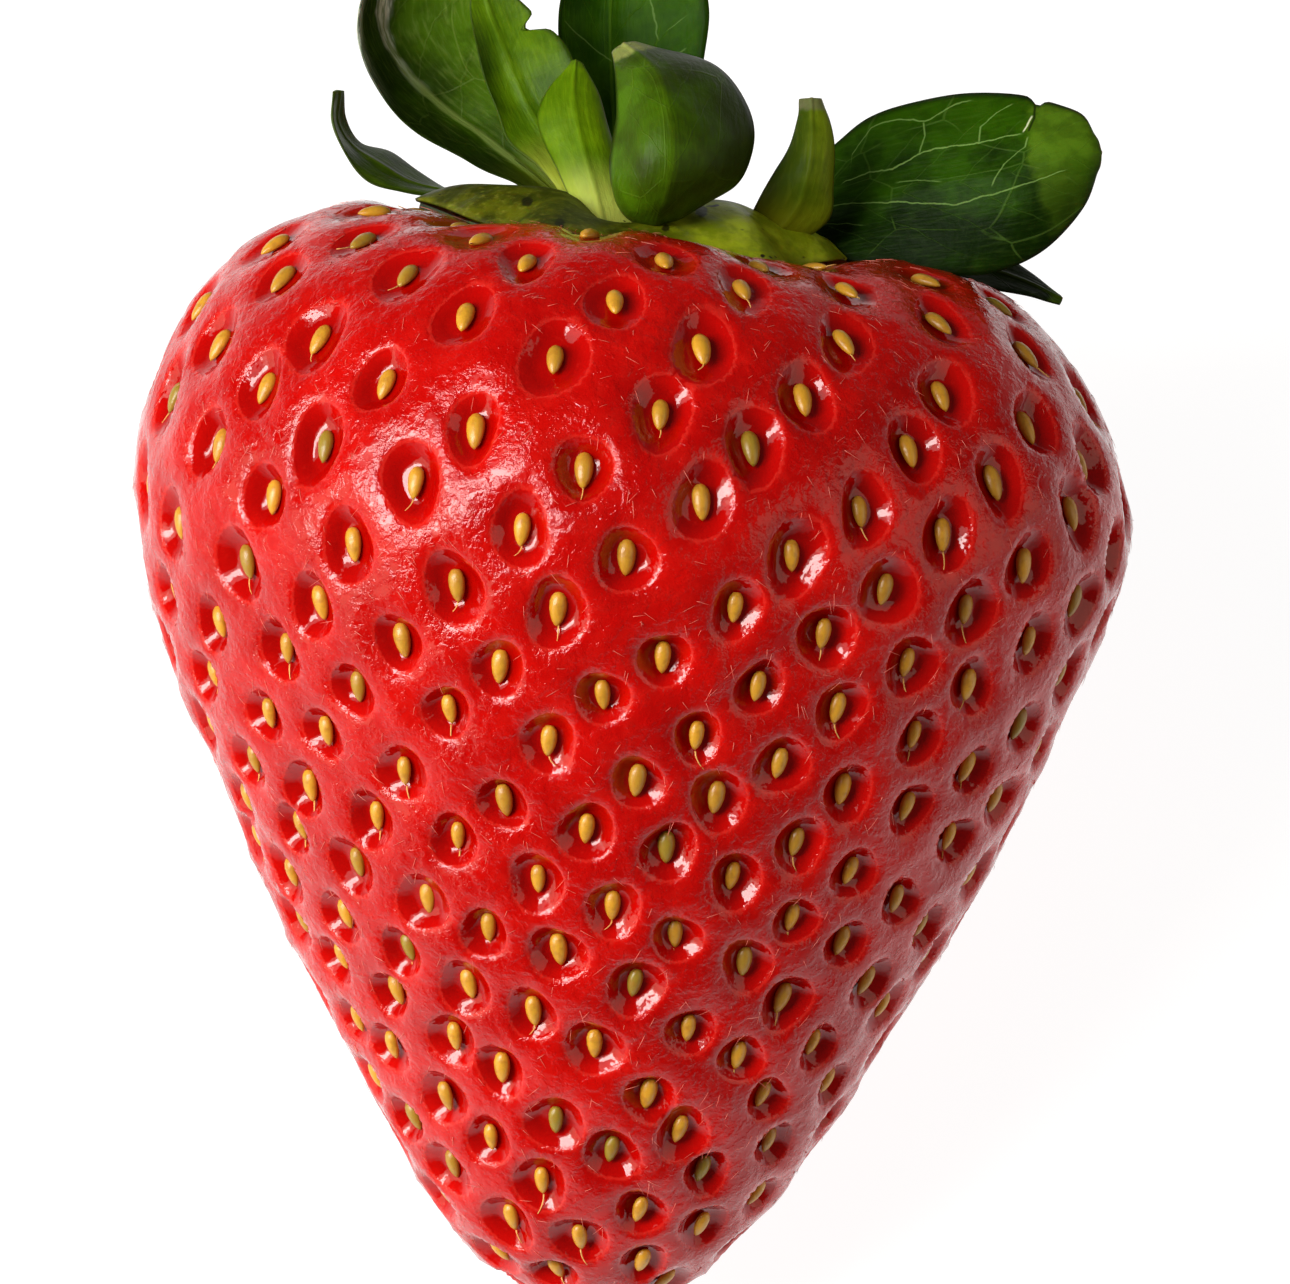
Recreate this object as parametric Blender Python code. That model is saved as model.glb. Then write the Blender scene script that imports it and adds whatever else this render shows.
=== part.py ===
"""A ripe strawberry with its green calyx, lying on its flank as one does on a table.

Metres, +Z up. The origin is the middle of the small flat spot that the berry rests on, under its weight.
The berry's axis leans up from the surface: its tip points to -Y and down, its calyx to +Y and up.
Everything is worked out in the berry's own frame and then turned on to the flank: there, x is to the
right, y is towards the surface that it lies on, and z runs along the axis from the tip to the calyx.
"""

import cmath
import math

import bmesh
import bpy
import numpy as np
from mathutils import Matrix, Vector
from mathutils.geometry import delaunay_2d_cdt

MM = 0.001

# Half of the berry's outline, as (distance from the axis, height over the tip), from tip to calyx hollow.
OUTLINE = [
    (0.0, 0.0), (3.75, 1.9), (7.2, 5.4), (12.1, 13.4), (15.9, 20.7), (19.0, 27.8), (20.5, 33.8),
    (18.9, 39.6), (15.8, 43.3), (11.8, 44.85), (9.0, 44.6), (6.9, 43.8), (5.0, 43.3), (2.5, 42.8), (0.0, 42.6),
]
DEPTH_SHARE = 0.95  # front to back against side to side
AXIS_SHIFT = 0.5 * MM  # how far the shoulders sit to the right of the frame's axis
TIP_SWAY = 1.5 * MM  # how far the tip bends back to the left
SWAY_HEIGHT = 30.0 * MM
SHOULDER_DROP = 1.45 * MM  # the right shoulder is this much lower than the middle, the left one higher
DROP_FROM, DROP_TO = 26.0 * MM, 38.0 * MM
DROP_SOFTEN = 5.0 * MM
LOBES = [(3, 0.012, 0.4), (5, 0.014, 2.3)]  # waves round the berry: number, share of radius, phase
CREST_LOBES = [(2, 0.25 * MM, 0.0), (5, 0.22 * MM, 1.48)]  # waves in the shoulders' height, phase last
CREST_RADIUS = 11.0 * MM

# Achenes, the small dry fruits that look like seeds, each in a pit of its own.
GOLDEN_ANGLE = math.pi * (3 - math.sqrt(5))
SHARE_AT_TIP, SHARE_AT_MIDDLE, SHARE_AT_TOP = 9.0 * MM**2, 10.6 * MM**2, 16.5 * MM**2
MIDDLE_HEIGHT, TOP_HEIGHT = 24.0 * MM, 37.0 * MM
PLAIN_RADIUS = 8.6 * MM  # inside the hollow there are no achenes
SITE_WOBBLE = 0.38 * MM
PIT_RADIUS_LOW, PIT_RADIUS_HIGH = 1.25 * MM, 1.5 * MM
PIT_DEPTH = 0.85 * MM
PIT_SIDES = 6
ACHENE_LONG, ACHENE_WIDE, ACHENE_RISE = 0.85 * MM, 0.5 * MM, 0.6 * MM
RIDGE_RISE = 0.12 * MM
HOLLOW_RINGS = [(7.2 * MM, 22), (5.6 * MM, 17), (3.8 * MM, 12), (1.9 * MM, 7)]

# Rest: the lean of the axis over the surface, and how deep the flat spot is pressed in.
LEAN = math.radians(24)
FLAT_PRESS = 0.28 * MM
REST_PLAIN = 2.3 * MM  # no achene is this near the middle of the flat spot

# Calyx: the disc in the hollow with the stub of the stalk, then sepals and the narrower bractlets.
GAP = 0.36 * MM
DISC_RADIUS, DISC_THICK, DISC_RIM_RISE = 6.3 * MM, 0.6 * MM, 0.1 * MM
DISC_WAVES = (5, 0.06, 0.8)  # waves round its rim: number, share of the radius, phase
STALK_RADIUS, STALK_LENGTH, STALK_LEAN = 0.95 * MM, 4.0 * MM, 0.5 * MM
DISC_SIDES = 30
BLADE_THICK = 0.6 * MM
BLADE_STEPS, BLADE_SPLITS = 12, 6


def leaf(name, left, rib, right, crease=0.0):
    """A sepal or bractlet by three lines of points in mm in the berry's frame, each from the claw to the
    tip: its two edges and its midrib. crease is how sharply it folds along the midrib."""
    lines = [np.array(points) * MM for points in (left, rib, right)]
    return {"name": name, "lines": lines, "crease": crease}


LEAVES = [
    leaf(
        "sepal_left",
        [(-2.5, 0.2, 46.3), (-4.2, -0.2, 47.5), (-6.2, -0.7, 48.4), (-8.4, -1.0, 49.6),
         (-10.1, -1.2, 51.5), (-10.8, -1.1, 53.6), (-10.6, -0.8, 55.6), (-9.5, -0.4, 57.1)],
        [(-2.1, 1.4, 46.5), (-3.9, 1.8, 48.1), (-5.7, 2.1, 49.5), (-7.6, 2.2, 50.9),
         (-9.1, 2.0, 52.4), (-10.0, 1.5, 54.1), (-9.9, 0.8, 55.9), (-9.2, -0.1, 57.2)],
        [(-1.7, 1.0, 46.7), (-2.7, 1.2, 49.0), (-3.3, 1.0, 51.1), (-4.0, 0.6, 53.0),
         (-5.0, 0.2, 54.7), (-6.2, -0.1, 56.1), (-7.5, -0.2, 57.0), (-8.7, -0.1, 57.3)],
        crease=0.3,
    ),
    leaf(
        "sepal_front_left",
        [(-2.2, -2.3, 45.3), (-2.4, -2.8, 46.8), (-3.4, -2.6, 48.1), (-4.6, -2.0, 49.2),
         (-5.2, -1.6, 50.7), (-5.8, -1.4, 52.6), (-6.2, -1.5, 54.5), (-6.1, -1.3, 56.2)],
        [(-1.3, -3.0, 45.3), (-1.5, -3.0, 46.7), (-2.2, -2.4, 48.2), (-3.2, -1.6, 49.6),
         (-4.0, -1.0, 51.1), (-4.7, -0.9, 52.8), (-5.4, -1.2, 54.7), (-5.9, -1.3, 56.3)],
        [(-0.3, -2.6, 45.2), (-0.4, -2.6, 46.5), (-0.8, -2.2, 48.0), (-1.2, -1.8, 49.5),
         (-1.7, -1.6, 51.1), (-2.4, -1.5, 52.9), (-3.5, -1.4, 54.3), (-5.6, -1.2, 56.4)],
    ),
    leaf(
        "sepal_back",
        [(-0.7, 1.6, 45.9), (-1.3, 2.4, 47.8), (-1.9, 3.1, 50.4), (-2.4, 3.6, 53.0),
         (-2.5, 3.8, 55.3), (-1.8, 3.5, 57.4), (-0.3, 2.9, 58.9)],
        [(0.1, 2.0, 45.9), (-0.1, 3.2, 47.9), (-0.3, 4.2, 50.5), (-0.4, 4.8, 53.0),
         (-0.4, 5.0, 55.4), (-0.2, 4.6, 57.5), (0.0, 3.4, 59.1)],
        [(0.8, 1.6, 45.9), (1.7, 2.4, 47.8), (2.8, 3.0, 50.4), (3.5, 3.4, 52.9),
         (3.7, 3.5, 55.3), (2.9, 3.3, 57.4), (0.5, 2.9, 59.0)],
    ),
    leaf(
        "sepal_front",
        [(0.3, -2.7, 45.7), (0.2, -5.0, 46.0), (0.0, -7.2, 46.9), (-0.1, -8.0, 48.3),
         (-0.1, -7.8, 49.9), (-0.2, -6.9, 51.5), (-0.3, -5.8, 52.6)],
        [(1.2, -2.9, 45.6), (1.5, -6.2, 45.6), (1.7, -9.2, 46.6), (2.0, -10.4, 48.1),
         (2.0, -10.0, 49.8), (1.5, -8.4, 51.6), (0.2, -6.2, 52.9)],
        [(2.0, -2.7, 45.7), (3.3, -4.6, 46.3), (4.8, -6.2, 47.1), (5.5, -6.9, 48.8),
         (5.2, -6.7, 50.4), (3.8, -6.1, 52.1), (0.8, -5.8, 53.0)],
    ),
    leaf(
        "sepal_right",
        [(4.2, 1.0, 45.5), (6.3, 0.9, 46.6), (8.4, 0.2, 48.7), (10.3, -0.4, 50.2), (12.7, -1.0, 51.0),
         (15.2, -1.8, 51.2), (17.4, -2.6, 50.9), (19.0, -3.3, 50.3), (19.6, -3.7, 49.3)],
        [(4.3, 0.2, 45.2), (6.8, 0.0, 45.8), (9.0, -1.1, 46.4), (11.1, -2.1, 46.9), (13.4, -3.0, 47.3),
         (15.6, -3.8, 47.6), (17.6, -4.3, 48.1), (19.2, -4.3, 48.5), (19.8, -4.0, 48.6)],
        [(4.4, -0.7, 44.9), (6.9, -0.8, 44.9), (9.0, -1.2, 44.7), (10.8, -1.8, 44.6), (13.1, -2.4, 44.2),
         (15.4, -3.0, 43.9), (17.5, -3.6, 44.7), (19.1, -4.0, 46.3), (19.7, -4.0, 47.9)],
    ),
    leaf(
        "sepal_back_right",
        [(1.4, 3.6, 45.3), (1.8, 6.9, 46.7), (3.0, 10.4, 46.9), (4.9, 13.4, 46.1), (7.6, 15.4, 44.9)],
        [(2.5, 3.2, 45.4), (3.8, 6.5, 46.4), (5.6, 10.0, 46.5), (7.0, 13.1, 45.7), (8.0, 15.3, 44.8)],
        [(3.6, 2.8, 45.5), (6.1, 5.8, 46.5), (8.3, 8.6, 46.6), (9.2, 12.0, 45.9), (8.4, 15.0, 44.8)],
    ),
    leaf(
        "sepal_back_left",
        [(-3.4, 2.6, 45.9), (-5.8, 5.6, 47.2), (-7.9, 8.8, 47.8), (-8.7, 12.0, 47.0), (-7.8, 15.0, 45.7)],
        [(-2.4, 3.2, 45.6), (-3.6, 6.3, 46.9), (-5.0, 9.6, 47.4), (-6.4, 12.8, 46.7), (-7.4, 15.2, 45.6)],
        [(-1.4, 3.6, 45.5), (-1.6, 6.9, 47.0), (-2.3, 10.6, 47.6), (-4.2, 13.6, 46.8), (-6.9, 15.4, 45.6)],
    ),
    leaf(
        "bractlet_left",
        [(-3.3, -2.0, 45.8), (-5.1, -1.8, 46.5), (-6.9, -1.4, 46.9), (-8.9, -1.8, 47.1), (-10.4, -2.0, 47.5),
         (-11.4, -1.8, 48.7), (-11.9, -1.5, 50.1), (-11.9, -1.3, 51.3)],
        [(-3.3, -0.5, 45.8), (-5.0, -0.4, 46.6), (-6.8, -0.3, 47.1), (-8.8, -0.7, 47.5), (-10.1, -0.7, 48.2),
         (-11.2, -0.4, 49.1), (-11.8, -0.6, 50.2), (-11.7, -0.8, 51.4)],
        [(-3.3, 1.0, 46.0), (-5.0, 1.1, 46.7), (-6.7, 0.9, 47.2), (-8.4, 1.0, 48.1), (-9.6, 1.1, 48.9),
         (-10.8, 0.6, 49.3), (-11.4, 0.0, 50.3), (-11.5, -0.4, 51.4)],
    ),
    leaf(
        "bractlet_front",
        [(-1.6, -4.0, 46.1), (-2.1, -3.9, 47.5), (-2.7, -3.4, 49.0), (-3.1, -3.0, 50.3),
         (-2.8, -2.6, 51.5), (-1.9, -2.4, 52.5)],
        [(-1.1, -4.5, 46.1), (-1.1, -4.7, 47.4), (-1.5, -4.3, 48.8), (-1.8, -3.7, 50.1),
         (-1.9, -3.1, 51.3), (-1.8, -2.5, 52.5)],
        [(-0.4, -4.2, 46.1), (-0.2, -4.3, 47.3), (-0.3, -4.0, 48.5), (-0.7, -3.4, 50.0),
         (-1.1, -2.9, 51.3), (-1.6, -2.5, 52.5)],
    ),
    leaf(
        "bractlet_right",
        [(3.7, -1.9, 45.2), (4.9, -3.6, 45.5), (5.7, -4.6, 46.5), (6.4, -4.8, 47.8), (7.0, -4.6, 49.0),
         (7.5, -4.4, 50.0), (7.6, -4.2, 50.7)],
        [(4.2, -2.4, 44.9), (5.7, -4.1, 45.1), (6.9, -5.2, 46.3), (7.5, -5.6, 47.6), (7.8, -5.4, 48.8),
         (7.9, -5.0, 49.9), (7.9, -4.6, 50.7)],
        [(4.8, -2.4, 44.7), (6.6, -3.7, 44.9), (8.1, -4.6, 46.0), (8.7, -4.9, 47.3), (8.8, -4.7, 48.6),
         (8.5, -4.5, 49.8), (8.2, -4.3, 50.7)],
    ),
    leaf(
        "bractlet_low_right",
        [(4.9, 2.9, 44.7), (7.8, 3.3, 45.2), (10.5, 3.5, 45.4), (13.0, 3.0, 45.1), (15.3, 1.9, 44.5),
         (17.1, 0.9, 43.6), (18.3, 0.1, 42.8)],
        [(4.9, 2.2, 44.5), (7.8, 2.3, 45.0), (10.4, 2.2, 45.1), (12.9, 1.7, 44.8), (15.2, 0.8, 44.2),
         (17.1, 0.2, 43.4), (18.4, -0.1, 42.7)],
        [(4.9, 1.5, 44.3), (7.8, 1.4, 44.8), (10.4, 1.0, 44.9), (12.9, 0.4, 44.6), (15.2, -0.4, 43.9),
         (17.0, -0.6, 43.1), (18.3, -0.4, 42.6)],
    ),
    leaf(
        "bractlet_back",
        [(-0.3, 4.2, 45.3), (-0.6, 7.4, 46.8), (-0.4, 10.6, 46.8), (1.0, 13.4, 45.9)],
        [(0.2, 4.2, 45.3), (0.5, 7.4, 46.5), (0.9, 10.4, 46.5), (1.3, 13.4, 45.8)],
        [(0.7, 4.2, 45.3), (1.2, 7.4, 46.6), (1.8, 10.2, 46.6), (1.6, 13.3, 45.8)],
    ),
]
SEPAL_GREEN = (0.05, 0.13, 0.01)
BRACTLET_GREEN = (0.10, 0.19, 0.02)
STALK_GREEN = (0.26, 0.34, 0.06)
FLESH_RED = (0.60, 0.006, 0.004)


def smooth_curve(points, steps):
    """A Catmull-Rom curve through the points. The first and the last point only steer it."""
    p = np.array(points, float)
    t = np.linspace(0, 1, steps, endpoint=False)[:, None]
    spans = []
    for a, b, c, d in zip(p, p[1:], p[2:], p[3:]):
        spans.append(
            b + 0.5 * t * (c - a) + t**2 * (a - 2.5 * b + 2 * c - 0.5 * d)
            + t**3 * (1.5 * b - 1.5 * c + 0.5 * d - 0.5 * a)
        )
    return np.concatenate([*spans, p[-2:-1]])


def ease(x):
    """0 below 0, 1 above 1 and a smooth rise between."""
    x = np.clip(x, 0, 1)
    return x * x * (3 - 2 * x)


def length_along(curve):
    """The length of the curve up to each of its points."""
    return np.concatenate([[0], np.cumsum(np.linalg.norm(np.diff(curve, axis=0), axis=1))])


def meridian():
    """The outline as arrays from the tip to the hollow: length along it, radius, height, and the
    coordinate u in which the surface unrolls on to a plane with its angles kept."""
    points = [(x * MM, z * MM) for x, z in OUTLINE]
    before, after = (-points[1][0], points[1][1]), (-points[-2][0], points[-2][1])
    curve = smooth_curve([before, *points, after], 120)
    along = length_along(curve)
    radius = np.maximum(curve[:, 0], 1e-3 * MM)
    per_step = np.diff(along) * 2 / (radius[1:] + radius[:-1])
    return along, radius, curve[:, 1], np.concatenate([[0], np.cumsum(per_step)])


ALONG, RADIUS, HEIGHT, UNROLLED = meridian()
WIDEST = ALONG[np.argmax(RADIUS)]


def skin(along, angle):
    """Points of the smooth berry, without pits, at lengths along the outline and angles round the axis."""
    r = np.interp(along, ALONG, RADIUS)
    z = np.interp(along, ALONG, HEIGHT)
    dropped = ease((z - DROP_FROM) / (DROP_TO - DROP_FROM))
    lobes = sum(share * np.cos(n * angle + phase) for n, share, phase in LOBES)
    wide = r * (1 + lobes * ease(z / SWAY_HEIGHT))
    crest = sum(rise * np.cos(n * angle + phase) for n, rise, phase in CREST_LOBES)
    sway = TIP_SWAY * np.maximum(0, 1 - z / SWAY_HEIGHT) ** 1.5
    return np.stack(
        [
            AXIS_SHIFT - sway + wide * np.cos(angle),
            DEPTH_SHARE * wide * np.sin(angle),
            z - SHOULDER_DROP * dropped * np.cos(angle) * r / np.hypot(r, DROP_SOFTEN)
            + crest * ease(r / CREST_RADIUS) * dropped,
        ],
        axis=-1,
    )


def outward(along, angle):
    """The unit normals of the smooth berry there."""
    step = 0.05 * MM
    along = np.clip(along, 2 * step, ALONG[-1] - 2 * step)
    turn = step / np.interp(along, ALONG, RADIUS)
    up = skin(along + step, angle) - skin(along - step, angle)
    round_ = skin(along, angle + turn) - skin(along, angle - turn)
    normal = np.cross(round_, up)
    return normal / np.linalg.norm(normal, axis=-1, keepdims=True)


def unrolled(along, angle):
    """The place on the plane, as a complex number, and the plane's scale there."""
    far = np.exp(np.interp(along, ALONG, UNROLLED) - np.interp(WIDEST, ALONG, UNROLLED))
    return far * np.exp(1j * angle), far / np.interp(along, ALONG, RADIUS)


def rolled_up(place):
    """The length along the outline and the angle of a place on the plane."""
    u = np.log(np.abs(place)) + np.interp(WIDEST, ALONG, UNROLLED)
    return np.interp(u, UNROLLED, ALONG), np.angle(place)


def rest_point():
    """The point of the smooth berry that comes lowest once it lies on its flank, and the turn to lay it."""
    turn = Matrix.Rotation(LEAN - math.pi / 2, 3, "X")
    back = skin(ALONG, np.full(len(ALONG), math.pi / 2))
    heights = back @ np.array(turn)[2]
    return back[np.argmin(heights)], turn


def laid(points):
    """Points of the berry's frame, with the berry on its flank and the flat spot at the origin."""
    lowest, turn = REST
    placed = (np.asarray(points) - lowest) @ np.array(turn).T
    return placed - np.array([0, 0, FLAT_PRESS])


REST = rest_point()


def achene_sites():
    """(length along the outline, angle) of each achene: a golden-angle spiral from the tip to the
    shoulders, wobbled, in which each has its share of the surface."""
    share = np.interp(HEIGHT, [0, MIDDLE_HEIGHT, TOP_HEIGHT], [SHARE_AT_TIP, SHARE_AT_MIDDLE, SHARE_AT_TOP])
    step = np.diff(ALONG) * math.pi * (RADIUS[1:] + RADIUS[:-1]) / share[1:]
    count = np.concatenate([[0], np.cumsum(step)])
    inner = np.argmax((ALONG > WIDEST) & (RADIUS < PLAIN_RADIUS))
    number = np.arange(int(count[inner]))
    wobble = np.random.default_rng(7).uniform(-SITE_WOBBLE, SITE_WOBBLE, (len(number), 2))
    along = np.interp(number + 0.5, count, ALONG) + wobble[:, 0]
    angle = number * GOLDEN_ANGLE + wobble[:, 1] / np.interp(along, ALONG, RADIUS)
    return along, angle


def corners_between(places):
    """The middles of the triangles between neighbouring places, where the flesh stands proud."""
    points = [Vector((w.real, w.imag)) for w in places]
    _, _, faces, *_ = delaunay_2d_cdt(points, [], [], 0, 0, False)
    return np.array([sum(places[i] for i in face) / 3 for face in faces])


def berry_points():
    """(place on the plane, height over the smooth skin) of each vertex of the berry but the last."""
    along, angle = achene_sites()
    place, scale = unrolled(along, angle)
    on_skin = skin(along, angle)
    in_rest = np.linalg.norm(laid(on_skin), axis=1) < REST_PLAIN
    size = np.interp(on_skin[:, 2], [MIDDLE_HEIGHT, TOP_HEIGHT], [PIT_RADIUS_LOW, PIT_RADIUS_HIGH])
    points = []
    for w, zoom, radius, pressed in zip(place, scale, size, in_rest):
        up = w / abs(w) * zoom
        depth = 0.0 if pressed else PIT_DEPTH
        for i in range(PIT_SIDES):
            points.append((w + up * radius * cmath.exp(2j * math.pi * i / PIT_SIDES), 0.0))
        for offset in (ACHENE_LONG, 1j * ACHENE_WIDE, -ACHENE_LONG, -1j * ACHENE_WIDE):
            points.append((w + up * offset, -depth))
        points.append((w, 0.0 if pressed else ACHENE_RISE - depth))
    hollow = ALONG > WIDEST
    rings = []
    for radius, sides in HOLLOW_RINGS:
        inner = np.interp(-radius, -RADIUS[hollow], ALONG[hollow])
        rings += [unrolled(inner, 2 * math.pi * i / sides)[0] for i in range(sides)]
    points += [(w, 0.0) for w in rings]
    outermost = rings[: HOLLOW_RINGS[0][1]]
    return points + [(w, RIDGE_RISE) for w in corners_between([*place, *outermost])]


def body(name, points, faces, colour, roughness):
    """One closed solid with its own material, its faces pointing out."""
    mesh = bpy.data.meshes.new(name)
    mesh.from_pydata([tuple(p) for p in points], [], [tuple(f) for f in faces])
    work = bmesh.new()
    work.from_mesh(mesh)
    bmesh.ops.recalc_face_normals(work, faces=work.faces)
    work.to_mesh(mesh)
    work.free()
    material = bpy.data.materials.new(name)
    material.use_nodes = True
    shader = material.node_tree.nodes["Principled BSDF"]
    shader.inputs["Base Color"].default_value = (*colour, 1)
    shader.inputs["Roughness"].default_value = roughness
    shader.inputs["Metallic"].default_value = 0
    mesh.materials.append(material)
    made = bpy.data.objects.new(name, mesh)
    bpy.context.scene.collection.objects.link(made)
    return made


def make_berry():
    """The fleshy berry, with its pits and the achenes in them as one skin."""
    points = berry_points()
    flat = [Vector((w.real, w.imag)) for w, _ in points]
    found, _, faces, source, *_ = delaunay_2d_cdt(flat, [], [], 0, 0, True)
    place = np.array([points[ids[0]][0] for ids in source])
    rise = np.array([points[ids[0]][1] for ids in source])
    along, angle = rolled_up(place)
    shaped = skin(along, angle) + outward(along, angle) * rise[:, None]
    hollow = skin(ALONG[-1:], np.zeros(1))
    shaped = laid(np.concatenate([shaped, hollow]))
    shaped[:, 2] = np.maximum(shaped[:, 2], 0)
    sides = {(a, b) for face in faces for a, b in zip(face, [*face[1:], face[0]])}
    faces = [*faces, *((b, a, len(found)) for a, b in sorted(sides) if (b, a) not in sides)]
    made = body("berry", shaped, faces, FLESH_RED, 0.25)
    made.data.shade_smooth()
    return made


def make_calyx_disc():
    """The disc in the hollow that carries the leaves, with the stub of the stalk in its middle."""
    angles = np.arange(DISC_SIDES) * 2 * math.pi / DISC_SIDES
    inside = ALONG > WIDEST
    number, share, phase = DISC_WAVES
    rings = []
    for out in (0.2, 0.4, 0.6, 0.8, 1.0):
        radius = out * DISC_RADIUS * (1 + out * share * np.cos(number * angles + phase))
        along = np.interp(-radius, -RADIUS[inside], ALONG[inside])
        rings.append(skin(along, angles) + [0, 0, GAP + DISC_RIM_RISE * out**3])
    rings += [ring + [0, 0, DISC_THICK] for ring in reversed(rings)]
    centre = skin(ALONG[-1:], np.zeros(1))[0]
    foot = centre + [0, 0, GAP + DISC_THICK]
    turn = STALK_RADIUS * np.stack([np.cos(angles), np.sin(angles), 0 * angles], axis=1)
    for up in (0.25, 0.6, 1.0):
        middle = foot + [-STALK_LEAN * up**2, 0, STALK_LENGTH * up]
        rings.append(middle + turn)
    points = [centre + [0, 0, GAP], *np.concatenate(rings), middle + [0, 0, 0.1 * MM]]
    faces = []
    for i in range(DISC_SIDES):
        j = (i + 1) % DISC_SIDES
        faces.append((0, 1 + j, 1 + i))
        for k in range(len(rings) - 1):
            a, b = 1 + k * DISC_SIDES, 1 + (k + 1) * DISC_SIDES
            faces += [(a + i, a + j, b + j), (a + i, b + j, b + i)]
        faces.append((b + i, b + j, len(points) - 1))
    return body("calyx_disc", laid(points), faces, STALK_GREEN, 0.6)


def evenly(line, steps):
    """Points evenly along a smooth curve through the line's points, both ends included."""
    curve = smooth_curve([2 * line[0] - line[1], *line, 2 * line[-1] - line[-2]], 24)
    along = length_along(curve)
    at = np.linspace(0, along[-1], steps + 1)
    return np.stack([np.interp(at, along, curve[:, k]) for k in range(3)], axis=1)


def blade_surface(shape, steps, splits):
    """The blade's middle surface and its normals, as grids of points."""
    left, rib, right = (evenly(line, steps)[:, None] for line in shape["lines"])
    v = np.linspace(-1, 1, splits + 1)[None, :, None]
    crease = shape["crease"]
    grid = rib + (right - left) / 2 * v + ((right + left) / 2 - rib) * ((1 - crease) * v**2 + crease * abs(v))
    du, dv = np.gradient(grid, axis=0), np.gradient(grid, axis=1)
    up = np.cross(dv, du)
    return grid, up / np.linalg.norm(up, axis=2, keepdims=True)


def make_leaf(shape):
    """A thin solid blade, split into triangles alike on both of its faces."""
    grid, up = blade_surface(shape, BLADE_STEPS, BLADE_SPLITS)
    faces_of = [grid + up * BLADE_THICK / 2, grid - up * BLADE_THICK / 2]
    rows, columns = grid.shape[:2]
    points = laid(np.concatenate([side.reshape(-1, 3) for side in faces_of]))
    other = rows * columns
    faces = []
    for i in range(rows - 1):
        for j in range(columns - 1):
            a, b = i * columns + j, (i + 1) * columns + j
            split = [(a, a + 1, b + 1), (a, b + 1, b)]
            if j >= columns // 2:
                split = [(a, a + 1, b), (a + 1, b + 1, b)]
            faces += split
            faces += [tuple(other + k for k in reversed(face)) for face in split]
    edge = [(0, j) for j in range(columns)] + [(i, columns - 1) for i in range(1, rows)]
    edge += [(rows - 1, j) for j in reversed(range(columns - 1))] + [(i, 0) for i in reversed(range(1, rows - 1))]
    for (i, j), (k, m) in zip(edge, [*edge[1:], edge[0]]):
        a, b = i * columns + j, k * columns + m
        faces += [(a, b, other + b), (a, other + b, other + a)]
    colour = SEPAL_GREEN if shape["name"].startswith("sepal") else BRACTLET_GREEN
    return body(shape["name"], points, faces, colour, 0.5)


def main():
    for old in list(bpy.data.objects):
        bpy.data.objects.remove(old)
    make_berry()
    make_calyx_disc()
    for shape in LEAVES:
        make_leaf(shape)


main()
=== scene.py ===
"""Looks of the strawberry: glossy pitted flesh, achenes with their dried styles, fine hairs, veined leaves,
a pale floor and soft studio light. Sizes are in metres.

The shapes are worked out in the berry's own frame and then laid on its flank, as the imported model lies:
there, x is to the right, y is towards the floor, and z runs along the axis from the tip to the calyx.
"""

import cmath
import math

import bmesh
import bpy
import numpy as np
from mathutils import Matrix, Vector, noise
from mathutils.geometry import delaunay_2d_cdt


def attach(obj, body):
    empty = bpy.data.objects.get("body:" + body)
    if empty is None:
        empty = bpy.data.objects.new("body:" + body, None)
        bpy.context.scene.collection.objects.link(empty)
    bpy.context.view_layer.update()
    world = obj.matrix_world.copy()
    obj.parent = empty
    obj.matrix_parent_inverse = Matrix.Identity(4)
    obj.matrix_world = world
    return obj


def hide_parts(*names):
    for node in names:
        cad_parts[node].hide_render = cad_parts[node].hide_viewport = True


MM = 0.001

# The smooth berry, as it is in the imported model.
OUTLINE = [
    (0.0, 0.0), (3.75, 1.9), (7.2, 5.4), (12.1, 13.4), (15.9, 20.7), (19.0, 27.8), (20.5, 33.8),
    (18.9, 39.6), (15.8, 43.3), (11.8, 44.85), (9.0, 44.6), (6.9, 43.8), (5.0, 43.3), (2.5, 42.8),
    (0.0, 42.6),
]  # radius and height in mm
DEPTH_SHARE = 0.95
AXIS_SHIFT = 0.5 * MM
TIP_SWAY = 1.5 * MM
SWAY_HEIGHT = 30.0 * MM
SHOULDER_DROP = 1.45 * MM
DROP_FROM, DROP_TO = 26.0 * MM, 38.0 * MM
DROP_SOFTEN = 5.0 * MM
LOBES = [(3, 0.012, 0.4), (5, 0.014, 2.3)]
CREST_LOBES = [(2, 0.25 * MM, 0.0), (5, 0.22 * MM, 1.48)]
CREST_RADIUS = 11.0 * MM
LEAN = math.radians(24)
FLAT_PRESS = 0.28 * MM

# Achene sites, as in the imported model.
GOLDEN_ANGLE = math.pi * (3 - math.sqrt(5))
SHARE_AT_TIP, SHARE_AT_MIDDLE, SHARE_AT_TOP = 9.0 * MM**2, 10.6 * MM**2, 16.5 * MM**2
MIDDLE_HEIGHT, TOP_HEIGHT = 24.0 * MM, 37.0 * MM
CREST_HEIGHT = 43.0 * MM
PLAIN_RADIUS = 8.6 * MM
SITE_WOBBLE = 0.38 * MM
REST_PLAIN = 2.3 * MM
SITE_SEED, PIT_SEED, STYLE_SEED, HAIR_SEED = 7, 11, 5, 23

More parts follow.
